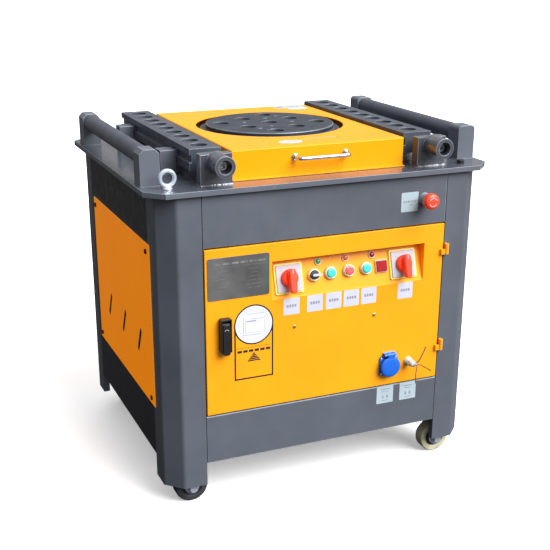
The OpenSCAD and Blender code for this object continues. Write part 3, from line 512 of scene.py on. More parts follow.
def make_camera():
    """Camera with a 36 mm sensor that looks 20.35 degrees down from the front left."""
    data = bpy.data.cameras.new("camera")
    camera = add_object("camera", data)
    data.sensor_width = 36.0
    data.lens = 65.95
    data.shift_x = 0.015
    data.shift_y = 0.0825
    data.clip_end = 100.0
    camera.location = (-0.9819, -2.3207, 1.2418)
    camera.rotation_euler = (math.radians(90 - 20.35), 0.0, math.radians(-22.65))
    scene.camera = camera


def make_light(name, kind, location, target, energy, **values):
    data = bpy.data.lights.new(name, kind)
    data.energy = energy
    for key, value in values.items():
        setattr(data, key, value)
    lamp = add_object(name, data)
    lamp.location = location
    lamp.rotation_euler = (Vector(target) - Vector(location)).to_track_quat("-Z", "Y").to_euler()
    return lamp


def make_stage():
    """Pale floor, a wide soft light from the front right, and a soft one from behind."""
    bm = bmesh.new()
    bmesh.ops.create_grid(bm, x_segments=1, y_segments=1, size=40.0)
    mesh = bpy.data.meshes.new("floor")
    bm.to_mesh(mesh)
    bm.free()
    floor = add_object("floor", mesh)
    paper, _, shader = new_material("floor")
    shader.inputs["Base Color"].default_value = (0.9, 0.9, 0.9, 1.0)
    shader.inputs["Roughness"].default_value = 0.9
    shader.inputs["Specular IOR Level"].default_value = 0.0
    shader.inputs["Emission Color"].default_value = (1.0, 0.99, 1.0, 1.0)
    shader.inputs["Emission Strength"].default_value = 0.32
    mesh.materials.append(paper)
    floor.visible_diffuse = False
    floor.visible_glossy = False
    make_world()
    make_light("key", "SUN", (1.7, -2.4, 2.7), (0, 0, 0), 6.0, angle=math.radians(50))
    back = make_light("back", "AREA", (0.4, 3.2, 1.8), (0.0, 0.3, 0.4), 45.0, size=2.0)
    back.visible_glossy = False
    scene.view_settings.view_transform = "Standard"


def make_world():
    """Soft sky that is brighter above than below; the camera sees plain white."""
    world = bpy.data.worlds.new("studio")
    world.use_nodes = True
    tree = world.node_tree
    back = tree.nodes["Background"]
    back.inputs["Color"].default_value = (1.0, 1.0, 1.0, 1.0)
    where = tree.nodes.new("ShaderNodeTexCoord")
    along = tree.nodes.new("ShaderNodeVectorMath")
    along.operation = "DOT_PRODUCT"
    along.inputs[1].default_value = (0.10, -0.05, 0.47)
    tree.links.new(where.outputs["Generated"], along.inputs[0])
    level = tree.nodes.new("ShaderNodeMath")
    level.operation = "ADD"
    level.inputs[1].default_value = 0.31
    level.use_clamp = True
    tree.links.new(along.outputs["Value"], level.inputs[0])
    path = tree.nodes.new("ShaderNodeLightPath")
    seen = tree.nodes.new("ShaderNodeMath")
    seen.operation = "MAXIMUM"
    tree.links.new(level.outputs["Value"], seen.inputs[0])
    tree.links.new(path.outputs["Is Camera Ray"], seen.inputs[1])
    tree.links.new(seen.outputs["Value"], back.inputs["Strength"])
    scene.world = world


# ---------- cords ----------

WIRE_DIAMETER = 2.5 * MM


def wire(name, route):
    """Loose wire on the route that its CAD solid follows, in millimetres from the cabinet's front face."""
    curve = bpy.data.curves.new("look_" + name, "CURVE")
    curve.dimensions = "3D"
    curve.bevel_depth = WIRE_DIAMETER / 2
    curve.bevel_resolution = 4
    curve.use_fill_caps = True
    line = curve.splines.new("POLY")
    line.points.add(len(route) - 1)
    points = [at(*p) for p in route]
    for spot, point in zip(line.points, points):
        spot.co = (*point, 1.0)
    curve.materials.append(FINISHES[name])
    made = add_object("look_" + name, curve)
    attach(made, "door")
    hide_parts(name)


def make_wires():
    wire("wire_blue", [(223.5, -34.5, 291.5), (225, -35.5, 292.5), (226.5, -37, 294.5), (229, -38.5, 298),
                       (232, -39.5, 303), (235, -40, 309), (238, -40, 315), (241, -40, 321),
                       (244, -39.5, 327), (247, -39, 333)])
    wire("wire_brown", [(225, -36, 288.5), (226.5, -37, 289.5), (229, -38, 289.5), (233, -39, 288),
                        (238, -39.5, 285), (243.5, -40, 282), (249, -40, 278), (255, -39.5, 274),
                        (261, -39, 270), (266, -38.5, 266)])
    wire("wire_grey", [(222.5, -37.5, 290), (223.5, -38.5, 291), (224.5, -39.5, 289.5), (224.5, -40, 286),
                       (224, -40.5, 281), (223, -40.5, 275), (222.5, -40, 269), (222.5, -39.5, 263),
                       (223, -39, 257), (223.5, -38.5, 251), (224, -38, 245), (224.5, -37.5, 239.5)])


# ---------- stickers ----------

LABEL = 0.25  # thickness of a label in millimetres


def sticker(name, where, width, height, body, bars, radius=1.5, paper="sticker"):
    """Label with printed bars, each (x, y, width, height) about the middle."""
    slab_piece(name, rect(width, height, radius), 0.0, LABEL, where, body, paper)
    bars_piece(name + "_print", where, bars, LABEL, body, "faint_ink")


def add_bars(bm, where, bars, height):
    """Thin printed bars, each (x, y, width, height), on a face at the given height."""
    for x, y, w, h in bars:
        add_slab(bm, moved(rect(w, h), x, y), height, height + 0.07, where)


def shifted(where, x, y):
    """The frame moved in its own plane, in millimetres."""
    return where @ Matrix.Translation(Vector((x, y, 0)) * MM)


# ---------- table top ----------

def weld(bm, corners, size=3.0, closed=True, ragged=0.1):
    """Rippled bead along a line of points in metres, with spatter beside a ragged one."""
    path = []
    pitch = 1.8 * MM
    count = len(corners)
    for i in range(count if closed else count - 1):
        a, b = corners[i], corners[(i + 1) % count]
        steps = max(2, int((b - a).length / pitch))
        path += [a.lerp(b, k / steps) for k in range(steps)]
    if not closed:
        path.append(corners[-1])
    ripple = [size * (0.9 + 0.14 * math.sin(i * 1.9) + random.uniform(-ragged, ragged))
              for i in range(len(path) + 1)]
    add_tube(bm, path, lambda t: ripple[int(t * len(path))], sides=8, closed=closed)
    if ragged > 0.2:
        for k in range(len(path) // 2):
            spot = random.choice(path) + Vector((random.uniform(-5, 5), random.uniform(-4, 1), 0)) * MM
            add_ball(bm, spot, random.uniform(0.6, 1.7), (1, 1, 0.6))


def foot_line(x0, x1, y0, y1):
    """Corners of a block's foot on the table plate."""
    return [at(x0, y0, TABLE_Z), at(x1, y0, TABLE_Z), at(x1, y1, TABLE_Z), at(x0, y1, TABLE_Z)]


def make_welds():
    """Bright beads in front of the screw blocks, a thin bright line along the left block's front edges that is a
    painted highlight, and beads in grey paint around the other feet and the sleeves.
    """
    bright, plain = bmesh.new(), bmesh.new()
    half, sleeve = 37, 23.6
    for x in SCREW_X:
        weld(bright, [at(x + side * half, 29.4, TABLE_Z) for side in SIDES], 3.4, closed=False, ragged=0.3)
        for side in SIDES:
            weld(plain, [at(x + side * half, y, TABLE_Z) for y in (31, 56)], 2.6, closed=False)
        turns = (math.radians(200 - 5 * k) for k in range(73))
        ring = [at(x + sleeve * math.cos(a), 29.6, SCREW_Z + sleeve * math.sin(a)) for a in turns]
        weld(plain, ring, 2.2, closed=False)
    for side in SIDES:
        for y in (70, 592):
            weld(plain, foot_line(side * 395 - 22.5, side * 395 + 22.5, y, y + 46), 2.2)
        for y in (174, 520):
            weld(plain, foot_line(*sorted((side * 303.5, side * 339.5)), y, y + 40), 2.2)
    # Thin bright line up the left block's front edge and along its top: a painted highlight, drawn as a weld bead.
    edge = SCREW_X[0] - 36.5
    weld(bright, [at(edge + x, 30, TABLE_Z + z) for x, z in ((0, 40), (0, 66), (22.5, 67.5))],
         1.0, closed=False, ragged=0.15)
    piece("bright_welds_and_edge_highlight", bright, "stand", "weld", angle=70)
    piece("weld_painted", plain, "stand", "grey_paint", angle=70)


def make_chips():
    """Small chips in the paint along the front edge of the table plate."""
    bm = bmesh.new()
    for _ in range(26):
        spot = at(random.uniform(-360, 360), random.choice((-10.6, -10.6, -9)),
                  TABLE_Z - random.choice((0.5, 0.5, 6)))
        add_ball(bm, spot, random.uniform(0.7, 1.5), (random.uniform(1, 2.2), 0.5, 0.5))
    piece("edge_chips", bm, "stand", "bright_zinc", slot="grey_paint")


def make_handle():
    """Bent rod with a round rose at each end, on the front of the lid."""
    bm = bmesh.new()
    lid_face, rod = 55, 29.5
    path = rounded([at(x, y, HANDLE_Z) for x, y in ((-HANDLE_X, lid_face), (-HANDLE_X, rod), (HANDLE_X, rod),
                                                    (HANDLE_X, lid_face))], 9 * MM, 8, closed=False)
    add_tube(bm, path, 4.5, sides=24)
    for side in SIDES:
        add_lathe(bm, [(0, 0.0), (9, 0.0), (9, 1.2), (8, 2.2), (6.2, 3.4), (0, 3.4)],
                  on_front(side * HANDLE_X, HANDLE_Z, lid_face), 40)
    piece("look_lid_handle", bm, "lid", "chrome", replaces=("lid_handle",), angle=50)


def make_lifting_eye():
    """Lifting eye at the left, and the plug bolt in the eye's other thread at the right."""
    bm = bmesh.new()
    centre, radius, turns = at(EYE_X, EYE_Y, TABLE_Z + 23), 16.2 * MM, 56
    ring = [centre + Vector((radius * math.cos(a), 0, radius * math.sin(a)))
            for a in (2 * math.pi * k / turns for k in range(turns))]
    add_tube(bm, ring, 4.8, sides=20, closed=True)
    add_lathe(bm, [(0, -18), (5, -18), (5, 0), (11, 0), (11, 2.2), (10, 3.2), (7, 4.2), (5.6, 6.5), (0, 6.5)],
              on_top(EYE_X, EYE_Y, TABLE_Z), 40)
    piece("look_lifting_hardware", bm, "stand", "bright_zinc", bevel=0.5,
          replaces=("lifting_hardware",), angle=50)
    plug = on_top(357, 32, TABLE_Z)
    bm = bmesh.new()
    add_lathe(bm, [(0, -16), (5, -16), (5, 0.6), (0, 0.6)], plug, 40)
    add_slab(bm, disc(10, 6), 0, 8, plug)
    piece("plug_bolt", bm, "stand", "dark_bolt", bevel=0.7, angle=50)


def make_screws():
    """Adjusting screws: driven end with a hexagon socket, neck, collar and thread."""
    end = [(0, -2), (5, -2), (5, -9.2), (5.6, -10), (9, -10), (10, -9), (10, 9.6), (14.95, 9.6),
           (14.95, 56.3), (17.4, 56.3), (18, 57), (18, 62.4), (17.4, 63), (9.4, 63)]
    thread = [(r, 64 + 2.5 * k + d)
              for k in range(15) for r, d in ((8.6, 0), (9.95, 0.7), (9.95, 1.5), (8.6, 2.2))]
    for side, x in zip(("left", "right"), SCREW_X):
        where = place(at(x, 0, SCREW_Z), (1, 0, 0), (0, 1, 0))
        lathe_piece("look_adjusting_screw_" + side, end + thread + [(8.4, 103), (0, 104)], where, 40,
                    "screw_" + side, "machined_steel", replaces=("adjusting_screw_" + side,), angle=40)


def is_outer_lid_edge(e):
    """The long folds of the lid's box: on its outside, not on its hole, lip or hinge."""
    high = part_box("lid")[1]
    a, b = (v.co for v in e.verts)
    top = min(a.z, b.z) > high.z - NEAR
    front = max(a.y, b.y) < at(0, 56, 0).y
    upright = abs(a.x - b.x) < SAME and abs(a.y - b.y) < SAME and abs(a.z - b.z) > 0.03
    rim = abs(abs(a.x) - high.x) < NEAR and abs(abs(b.x) - high.x) < NEAR
    rear = min(a.y, b.y) > at(0, 621, 0).y
    return (top and (rim or front or rear)) or (upright and rim)


def make_table_top():
    """Plate, blocks, bars, rollers, lid and disc, with what sits on them."""
    # The plate's side faces get the lighter grey (painted light), and its rounded edges the pale grey (partly a
    # painted highlight).
    dressed("table_plate", 0.9, 2, finish="plate_paint", edge="grey_edge", inner="post_paint",
            inner_test=lambda face: abs(face.normal.z) < 0.5)
    # The posts are in the lighter grey (painted light); the posts and blocks get pale grey edges, partly a painted
    # highlight.
    dressed("roller_posts", 1.3, 3, finish="post_paint", edge="grey_edge")
    dressed("guide_blocks", 1.3, 3, edge="grey_edge")
    dressed("screw_blocks", 1.3, 3, finish="block_paint", edge="grey_edge")
    for side in ("left", "right"):
        # The rounded edges get the lighter steel: partly wear, partly a painted highlight.
        dressed("socket_bar_" + side, 1.1, 3, edge="steel_edge", inner="bore_steel", inner_test=is_bore_wall)
        dressed("roller_" + side, 1.0, 2, finish="roller_paint")
    dressed("lid", 0.5, 3, finish="lid_paint", wide=3.0, wide_test=is_outer_lid_edge)
    dressed("hinge_brackets", 0.5)
    dressed("work_disc", 1.0, 3, finish="turned_disc", edge="steel_edge", inner="bore_steel",
            inner_test=is_bore_wall)
    make_handle()
    make_lifting_eye()
    make_screws()
    make_welds()
    make_chips()
    make_lid_labels()


def make_lid_labels():
    """Oval label and its drawn frame in front of the disc, a wide and an oval label behind it."""
    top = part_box("lid")[1].z / MM
    where = on_top(-52, 106, top)
    slab_piece("lid_label_left", oval(29, 0.65, 56), 0.0, LABEL, where, "lid", "sticker")
    slab_piece("lid_label_spot", oval(15, 0.5, 40, (5, 8)), LABEL, 0.3, where, "lid", "pink_ink")
    bm = bmesh.new()
    outline = [at(x, y, top + 0.1) for x, y in ((-12, 128), (74, 128), (74, 92))]
    for a, b in zip(outline, outline[1:]):
        add_tube(bm, [a, b], 0.5, 6)
    add_bars(bm, where, [(-8, -6, 14, 2), (12, -6, 10, 2)], LABEL)
    piece("lid_label_frame", bm, "lid", "faint_ink", angle=60)
    sticker("lid_label_rear", on_top(158, 594, top), 84, 36, "lid",
            [(-28, 0, 18, 20), (12, 8, 36, 3), (12, 0, 36, 3), (12, -8, 24, 3)], paper="blue_sticker")
    slab_piece("lid_label_oval", oval(29, 0.6, 56), 0.0, 0.3, on_top(170, 560, top), "lid", "sticker")
    slab_piece("lid_label_oval_spot", oval(14, 0.5, 40), 0.3, 0.35, on_top(172, 561, top), "lid", "pink_ink")


# ---------- cabinet ----------

def is_long_fold(e):
    """The upright 45 degree folds of the columns."""
    a, b = (v.co for v in e.verts)
    return abs(a.x - b.x) < SAME and abs(a.y - b.y) < SAME and e.calc_face_angle(0.0) < math.radians(60)


def is_long_bend(e):
    """Front bends of the channels: they run along X at the face."""
    a, b = (v.co for v in e.verts)
    return abs(a.x - b.x) > 0.4 and max(a.y, b.y) < front_y + NEAR


def is_door_rim(e):
    """The door's four outer front edges."""
    low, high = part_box("door")
    half = 302 * MM
    a, b = (v.co for v in e.verts)
    front = max(a.y, b.y) < at(0, DOOR_FACE + 0.1, 0).y
    along = abs(a.x - b.x) > 0.45 or abs(a.z - b.z) > 0.2
    rim = min(a.z, b.z) > high.z - NEAR or max(a.z, b.z) < low.z + NEAR
    side = abs(abs(a.x) - half) < NEAR and abs(abs(b.x) - half) < NEAR
    return front and along and (rim or side)


def is_cover_inside(face):
    """Whether a face is the back of a cover sheet or lies in one of its slots."""
    middle = face.calc_center_median()
    outward = face.normal.x * math.copysign(1, middle.x) if abs(middle.x) > 0.39 else face.normal.y
    return outward < -0.9 or (abs(outward) < 0.1 and 0.32 < middle.z < 0.41)


def is_axle_end(face):
    """Whether a face is part of a caster axle's head or nut."""
    middle = face.calc_center_median()
    return any(math.hypot(middle.x - p.x, middle.z - p.z) < 13.5 * MM and abs(middle.y - p.y) > 19.4 * MM
               for p in WHEEL_CENTRES)


def make_wheels():
    """Tyre and hub of each wheel, from their half sections of radius and width."""
    tyre = rounded([(25.5, -15.5, 0), (38.5, -16, 0), (40, -12, 0), (40, 12, 0), (38.5, 16, 0),
                    (25.5, 15.5, 0)], 3.0)
    hub = rounded([(6.05, -16, 0), (12, -16, 0), (13, -11, 0), (22, -9, 0), (25.6, -12, 0), (25.6, 12, 0),
                   (22, 9, 0), (13, 11, 0), (12, 16, 0), (6.05, 16, 0)], 1.2, 3)
    for end in ("front", "rear"):
        for side in ("left", "right"):
            name = "wheel_%s_%s" % (end, side)
            where = place(Vector(joints[name + "_roll"]["pos_m"]), (1, 0, 0), (0, -1, 0))
            lathe_piece(name + "_tyre", [(p.x, p.y) for p in tyre], where, 72, name, SLOTS[name], closed=True)
            lathe_piece(name + "_hub", [(p.x, p.y) for p in hub], where, 48, name, "black_wheel", closed=True,
                        slot=SLOTS[name], replaces=(name,))


def make_cabinet():
    """Columns, channels, sheets, covers, casters and the box for the contactors."""
    for name in ("front_legs", "rear_legs"):
        dressed(name, 0.5, 3, wide=5.0, wide_test=is_long_fold)
    # The channels' rounded bends get the pale grey: partly wear, partly a painted highlight.
    dressed("front_panels", 0.5, 3, wide=3.0, wide_test=is_long_bend, edge="grey_edge")
    # The side sheets are darker than the front: painted shade.
    dressed("frame_sheets", 0.5, finish="side_paint")
    dressed("inner_supports", 0.5)
    # The covers glow (painted light), their rounded edges are a lighter glowing orange (painted highlight), and
    # their backs and slot walls get the dark grey (painted shade).
    dressed("cover_panels", 0.4, 2, finish="cover_paint", edge="cover_edge", inner="side_paint",
            inner_test=is_cover_inside)
    dressed("panel_screws", 0.5, 2, finish="dark_bolt")
    dressed("caster_forks", 0.7, 2, inner="bright_zinc", inner_test=is_axle_end)
    make_wheels()
    dressed("control_box", 2.0, 2)


# ---------- drive ----------

def make_drive():
    """Gears, shafts, belt and motor, with cooling ribs on the motor's housing."""
    for name in ("main_spindle", "main_gear", "third_shaft", "second_shaft", "input_shaft"):
        dressed(name, 0.4, 1)
    for name in ("gearbox_case", "gearbox_cover"):
        dressed(name, 2.0, 2)
    for name in ("input_pulley", "motor_pulley", "v_belt"):
        dressed(name, 0.6, 1)
    dressed("motor", 1.5, 2)
    bm = bmesh.new()
    ribs, foot_angle = 40, 270
    for k in range(ribs):
        angle = 2 * math.pi * k / ribs
        if abs(math.degrees(angle) - foot_angle) < 36:
            continue
        out = Vector((math.cos(angle), math.sin(angle), 0))
        where = place(at(MOTOR_X, MOTOR_Y, 250) + out * 87 * MM, (-out.y, out.x, 0), (0, 0, 1))
        add_slab(bm, rect(2.4, 22, 1.0, 2), 0, 205, where)
    piece("motor_ribs", bm, "stand", "motor_housing")


# ---------- door and its fittings ----------

def make_cam_switch(side):
    """Square plate in its rim, the block behind it, and the handle on its own body."""
    where = on_recess(CAM_X[side], CONTROL_ROW)
    # The rim's cream plastic glows: painted light.
    slab_piece("cam_rim_" + side, rect(70, 70, 4), 0, 4.4, where, "door", "cream_plastic", bevel=1.2,
               segments=3)
    slab_piece("cam_plate_" + side, rect(63, 63, 4), 3, 7.6, where, "door", "white_plastic", bevel=1.4,
               segments=3)
    bm = bmesh.new()
    for turn in (-45, 0, 45):
        spin = where @ Matrix.Rotation(math.radians(turn), 4, "Z")
        add_bars(bm, spin, [(0, 26.5, 1.2, 4)], 7.6)
    piece("cam_marks_" + side, bm, "door", "faint_ink")
    bm = bmesh.new()
    add_slab(bm, rect(48, 48, 2), -54.5, -2.5, where)
    add_slab(bm, rect(40, 46, 2), -58, -54.5, where)
    piece("cam_block_" + side, bm, "door", "black_plastic", bevel=0.8)
    bm = bmesh.new()
    add_lathe(bm, [(0, 2), (4, 2), (4, 8.5), (19, 8.5), (20, 9.5), (20, 14), (18.6, 17), (16, 18), (0, 18)],
              where, 56)
    grip = rounded([(-7, -34, 0), (7, -34, 0), (9, 0, 0), (7, 22, 0), (-7, 22, 0), (-9, 0, 0)], 7, 6)
    add_slab(bm, grip, 16, 33.6, where)
    # The handle's red plastic glows: painted light.
    piece("look_cam_handle_" + side, bm, "cam_" + side, "red_plastic", bevel=2.2, segments=4,
          replaces=("cam_handle_" + side,), angle=40)
    bars_piece("cam_pointer_" + side, where, [(0, 15, 1.4, 8)], 33.6, "cam_" + side, "white_plastic")


def make_controls():
    """Cam switches, bezels with their contact blocks, push-buttons, selector and lamps."""
    for side in CAM_X:
        make_cam_switch(side)
    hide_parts("cam_switches")
    bezels, blocks = bmesh.new(), bmesh.new()
    for x in [SELECTOR_X] + [x for _, x, _ in BUTTONS]:
        where = on_recess(x, CONTROL_ROW)
        add_lathe(bezels, [(15.5, 0), (15.5, 3), (15, 4), (14.4, 6.4), (13.6, 7.6), (12.4, 8), (11.3, 7.6),
                           (11.05, 6.8), (11.05, 1), (0, 1), (0, 0)], where, 56)
        add_slab(blocks, rect(28, 36, 2), -42.5, -2.5, where)
    piece("look_button_bezels", bezels, "door", "bezel_metal", replaces=("button_bezels",), angle=50)
    piece("contact_blocks", blocks, "door", "black_plastic", bevel=0.8)
    cap = [(0, 5.5), (10.9, 5.5), (10.9, 9.6), (10.3, 10.6), (9, 11), (5, 11), (0, 10.8)]
    for side, x, finish in BUTTONS:
        name = "button_" + side
        lathe_piece("look_" + name, cap, on_recess(x, CONTROL_ROW), 48, name, finish, slot=SLOTS[name],
                    replaces=(name,), angle=40)
    where = on_recess(SELECTOR_X, CONTROL_ROW)
    bm = bmesh.new()
    add_lathe(bm, [(0, 1.5), (10.9, 1.5), (10.9, 9.6), (10, 10.5), (0, 10.5)], where, 48)
    lever = rounded([(-12, -3.4, 0), (15, -2.6, 0), (15, 2.6, 0), (-12, 3.4, 0)], 2.4, 4)
    add_slab(bm, lever, 10, 18.6, where)
    piece("look_selector_knob", bm, "selector", "black_plastic", bevel=0.8,
          replaces=("selector_knob",), angle=40)
    slab_piece("selector_line", moved(rect(24, 5.8, 2.4, 3), 3.5, 0), 18.2, 19.0, where, "selector",
               "white_plastic")
    make_lamps()


def make_lamps():
    """Three round lamps in their collars, and the square one."""
    bm = bmesh.new()
    for x, _ in LAMPS:
        add_lathe(bm, [(0, 0), (8.8, 0), (8.8, 2), (8, 3), (6.4, 3), (6.2, 2.2), (0, 2.2)],
                  on_recess(x, LAMP_ROW), 48)
    square = on_recess(142, CONTROL_ROW + 1)
    add_slab(bm, rect(31, 30, 2), 0, 4, square)
    piece("look_indicator_lamps", bm, "door", "lamp_plastic", bevel=0.5,
          replaces=("indicator_lamps",), angle=40)
    lens = [(6.3, 2), (6.3, 3.6), (5.6, 4.9), (3.6, 5.7), (1.6, 6), (0, 6)]
    for x, tint in LAMPS:
        lathe_piece("lens_" + tint, lens, on_recess(x, LAMP_ROW), 40, "door", "lens_" + tint, angle=60)
    slab_piece("lens_square", rect(27, 26, 2), 3.6, 7.6, square, "door", "lens_red", bevel=1.2, segments=3)


def make_stop():
    """Emergency stop: base in the upper channel, mushroom head, and the turn arrows as plain arcs."""
    where = on_front(STOP_X, STOP_Z, 0)
    lathe_piece("look_emergency_stop_base",
                [(9.05, -6), (9.05, 12), (10, 13), (12, 13), (13, 12), (13, 4.4), (14.4, 4), (15, 3),
                 (15, 0), (11, 0), (11, -45), (0, -45), (0, -6)], where, 56, "stand", "grey_edge",
                slot=SLOTS["emergency_stop_base"], replaces=("emergency_stop_base",), angle=45)
    lathe_piece("look_emergency_stop_head",
                [(0, 2), (9, 2), (9, 19.6), (14.6, 20.2), (17.4, 22.8), (19, 26), (19, 33), (18.6, 36),
                 (17, 39.2), (14, 41), (10, 41.9), (0, 42)], where, 64, "stop_head", "stop_red",
                replaces=("emergency_stop_head",), angle=60)
    bm = bmesh.new()
    for start in (20, 200):
        add_slab(bm, arc_band(10.6, 8.8, start, 10, 14), 41.7, 42.0, where)
    piece("stop_arcs", bm, "stop_head", "white_plastic")


def make_socket():
    """Power socket: housing with its hinge lugs, screws and contacts, and the flip lid."""
    bm = bmesh.new()
    where = on_front(SOCKET_X, SOCKET_Z)
    add_slab(bm, rect(50, 50, 6), 0, 4, where)
    add_lathe(bm, [(19, 3), (19, 11.2), (19.6, 12), (22.4, 12), (23, 11.2), (23, 3.4), (19, 3)], where, 56)
    for side in SIDES:
        pin = place(at(SOCKET_X + side * 12 - 3.5, -12, SOCKET_PIN_Z), (0, 1, 0), (1, 0, 0))
        add_lathe(bm, [(2.05, 0), (3.6, 0), (4, 0.4), (4, 6.6), (3.6, 7), (2.05, 7)], pin, 28, closed=True)
        lug = shifted(where, side * 12, 30)
        for dy in (-3.05, 3.05):
            add_slab(bm, moved(rect(7, 1.9), 0, dy), 1, 10, lug)
        add_slab(bm, rect(7, 6), 1, 7.5, lug)
    piece("look_socket_outlet", bm, "door", "blue_plastic", bevel=0.5, replaces=("socket_outlet",), angle=40)
    slab_piece("socket_hinge_block", moved(rect(31, 15, 2), 0, 27.5), 0, 4, where, "door", "pale_blue",
               bevel=0.8)
    bm = bmesh.new()
    for x in (-20, 20):
        for z in (-20, 20):
            add_lathe(bm, [(0, 5), (2.4, 5), (3.0, 4.4), (3.0, 3.9)], shifted(where, x, z), 20)
    for degrees in (60, 150, 210, 270, 330):
        a = math.radians(degrees)
        pin = shifted(where, 11 * math.cos(a), 11 * math.sin(a))
        add_lathe(bm, [(0, 9), (1.6, 9), (2.2, 8.4), (2.2, 3.5)], pin, 16)
    piece("socket_contacts", bm, "door", "bright_zinc")
    bm = bmesh.new()
    add_lathe(bm, [(0, 12.5), (25.4, 12.5), (26, 13.2), (26, 15.4), (25, 16.6), (23, 17), (21.5, 17.4),
                   (19, 17.9), (12, 18), (0, 18)], where, 64)
    add_slab(bm, moved(rect(16, 12, 2), 0, 26), 12.5, 17, where)
    pin = place(at(SOCKET_X - 15, -12, SOCKET_PIN_Z), (0, 1, 0), (1, 0, 0))
    add_lathe(bm, [(0, 0), (2, 0), (2, 7), (4, 7), (4, 23), (2, 23), (2, 30), (0, 30)], pin, 24)
    piece("look_socket_lid", bm, "socket_lid", "blue_plastic", replaces=("socket_lid",), angle=40)


def make_gland():
    """Cable gland with a threaded neck, ribbed cap and the stub of the cable's jacket."""
    bm = bmesh.new()
    where = on_front(GLAND_X, GLAND_Z)
    nut = [(9 if k % 2 else 8.4, 6.4 + 0.8 * k) for k in range(6)]
    add_lathe(bm, [(0, 0), (10.5, 0), (10.5, 5.2), (10, 6), (8.6, 6)] + nut
              + [(8.2, 11.6), (8.2, 22), (8, 24), (7.2, 28), (6, 31), (4.2, 32), (0, 32)], where, 48)
    stub = [at(GLAND_X, -30, GLAND_Z), at(GLAND_X, -33, GLAND_Z), at(GLAND_X + 5, -37, GLAND_Z + 4)]
    add_tube(bm, rounded(stub, 2 * MM, 5, closed=False), 4.0, 20)
    ribs = 8
    for k in range(ribs):
        a = 2 * math.pi * k / ribs
        add_slab(bm, disc(0.9, 10), 12, 22, shifted(where, 8.1 * math.cos(a), 8.1 * math.sin(a)))
    piece("look_cable_gland", bm, "door", "gland_plastic", replaces=("cable_gland",), angle=45)


def make_latch():
    """Recessed plate with side walls, and the handle that tilts out of it."""
    bm = bmesh.new()
    where = on_front(LATCH_X, LATCH_Z)
    add_slab(bm, rect(26, 80, 4, 4), 0, 6, where)
    for side in SIDES:
        add_slab(bm, moved(rect(3.5, 79, 1.2, 3), side * 11.25, 0), 5, 16.8, where)
    add_slab(bm, moved(rect(25, 3.6, 1.2, 3), 0, 38), 5, 16.8, where)
    piece("look_latch_plate", bm, "door", "black_plastic", bevel=0.8, replaces=("latch_plate",), angle=40)
    bm = bmesh.new()
    grip = rounded([(-9, -46, 0), (9, -46, 0), (9, 28, 0), (-9, 28, 0)], 8, 6)
    add_slab(bm, grip, 6.6, 18.4, where)
    pin = place(at(LATCH_X - 11, -13.5, LATCH_Z + 27), (0, 1, 0), (1, 0, 0))
    add_lathe(bm, [(0, 0), (2.5, 0), (2.5, 22), (0, 22)], pin, 20)
    piece("look_latch_handle", bm, "latch_handle", "black_plastic", bevel=1.6, segments=3,
          replaces=("latch_handle",), angle=40)
    # Small white arc on the handle: a painted highlight.
    slab_piece("latch_highlight_arc", arc_band(5.4, 4.2, 20, 14, 11), 18.2, 18.5, shifted(where, 0, 12),
               "latch_handle", "white_plastic")


def make_nameplate():
    """Brushed plate with a faint generic layout of lines."""
    where = on_front(-222.75, 557.75)
    slab_piece("look_nameplate", rect(147.5, 97.5, 6), 0, 1.2, where, "door", "plate_metal", bevel=0.3,
               replaces=("nameplate",))
    rows = [(side * 36 + random.uniform(-8, 4), 17 - 9 * k, random.uniform(14, 44), 0.8)
            for k in range(6) for side in SIDES]
    title = [(-8 + 21 * k, 34, 17, 4.5) for k in range(-2, 4)] + [(0, 26, 132, 0.6)]
    bars_piece("nameplate_lines", where, title + rows, 1.15, "door", "plate_mark")


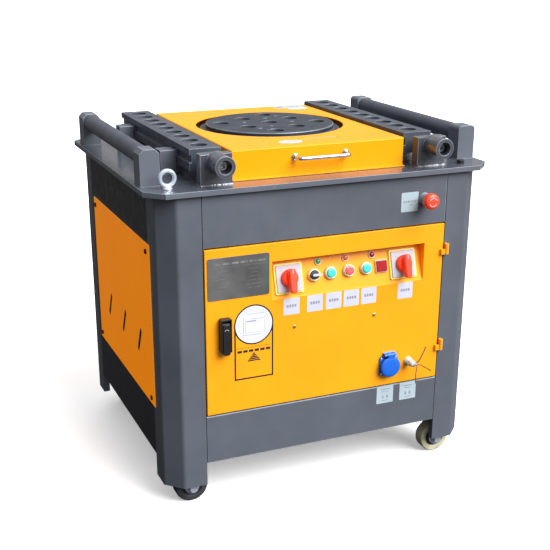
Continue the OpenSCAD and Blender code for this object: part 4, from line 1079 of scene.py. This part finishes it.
def make_door_labels():
    """Labels under the controls, beside the stop and on the lower channel, and the door's two screws."""
    for i, x in enumerate((-94, -35, 13, 59, 105, 203)):
        sticker("label_%d" % i, on_front(x, 471.5), 40, 40, "door",
                [(6.4 * k - 9.6, 1, 4.6, 6.5) for k in range(4)], 2)
    sticker("label_stop", on_front(205, 686.5, 0), 45, 46, "stand",
            [(6 * k - 15, 1, 4.4, 5) for k in range(6)] + [(4, -7, 12, 2)], 2,
            paper="blue_sticker")
    for i, x in enumerate((161.5, 225.5)):
        sticker("label_beam_%d" % i, on_front(x, 205, 0), 46, 46, "stand",
                [(0, 14, 26, 2.4), (0, 8, 18, 2), (-6, -6, 5, 8), (6, -6, 5, 8), (0, -16, 20, 1.6)], 2,
                paper="blue_sticker")
    make_round_label()
    bm = bmesh.new()
    for x in (-86, 121):
        add_lathe(bm, [(0, 2.2), (2.6, 2.1), (4.2, 1.2), (4.5, 0)], on_front(x, 421), 28)
    piece("door_screws", bm, "door", "brass_screw")


def make_round_label():
    """Round label over an arched frame line with generic marks."""
    where = on_front(-187, 440.5)
    slab_piece("round_label", disc(46.5, 72), 0, LABEL, where, "door", "white_paper")
    bm = bmesh.new()
    add_lathe(bm, [(37.5, 0.25), (37.5, 0.32), (36.9, 0.32), (36.9, 0.25)], where, 72, closed=True)
    add_bars(bm, where, [(2, 26, 44, 1.2), (-25, -2, 1.2, 44), (-20, -2, 0.8, 36), (-6, 9, 24, 3),
                         (8, 14, 34, 1), (-4, -24, 42, 1.2), (-2, -19, 36, 0.8), (27, -2, 1, 42)], LABEL)
    piece("round_label_print", bm, "door", "blue_ink")
    bm = bmesh.new()
    add_lathe(bm, [(48, 0), (48, 0.34), (44.8, 0.34), (44.8, 0)], where, 72, closed=True)
    add_bars(bm, where, [(-46, -66, 3.8, 130), (46, -66, 3.8, 130), (0, -130, 95.8, 3.8), (0, -54, 84, 0.8)]
             + [(-35 + 14 * k, -62.7, 11, 6) for k in range(6)], 0)
    add_bars(bm, where, [(0, -70 - 4.3 * k, 5 + 6.5 * k, 3.2) for k in range(5)], 0)
    piece("round_label_frame", bm, "door", "ink", angle=60)


def make_door():
    """The door, and what is fitted to it and to the channels beside it."""
    dressed("door", 0.5, 3, wide=1.9, wide_test=is_door_rim)
    make_controls()
    make_stop()
    make_socket()
    make_gland()
    make_latch()
    make_nameplate()
    make_door_labels()


random.seed(7)
make_camera()
make_wires()
make_stage()
make_table_top()
make_cabinet()
make_drive()
make_door()

for name, cad in frame["nodes"].items():
    if SLOTS[name] in FINISHES:
        cad.data.materials.clear()
        cad.data.materials.append(FINISHES[SLOTS[name]])
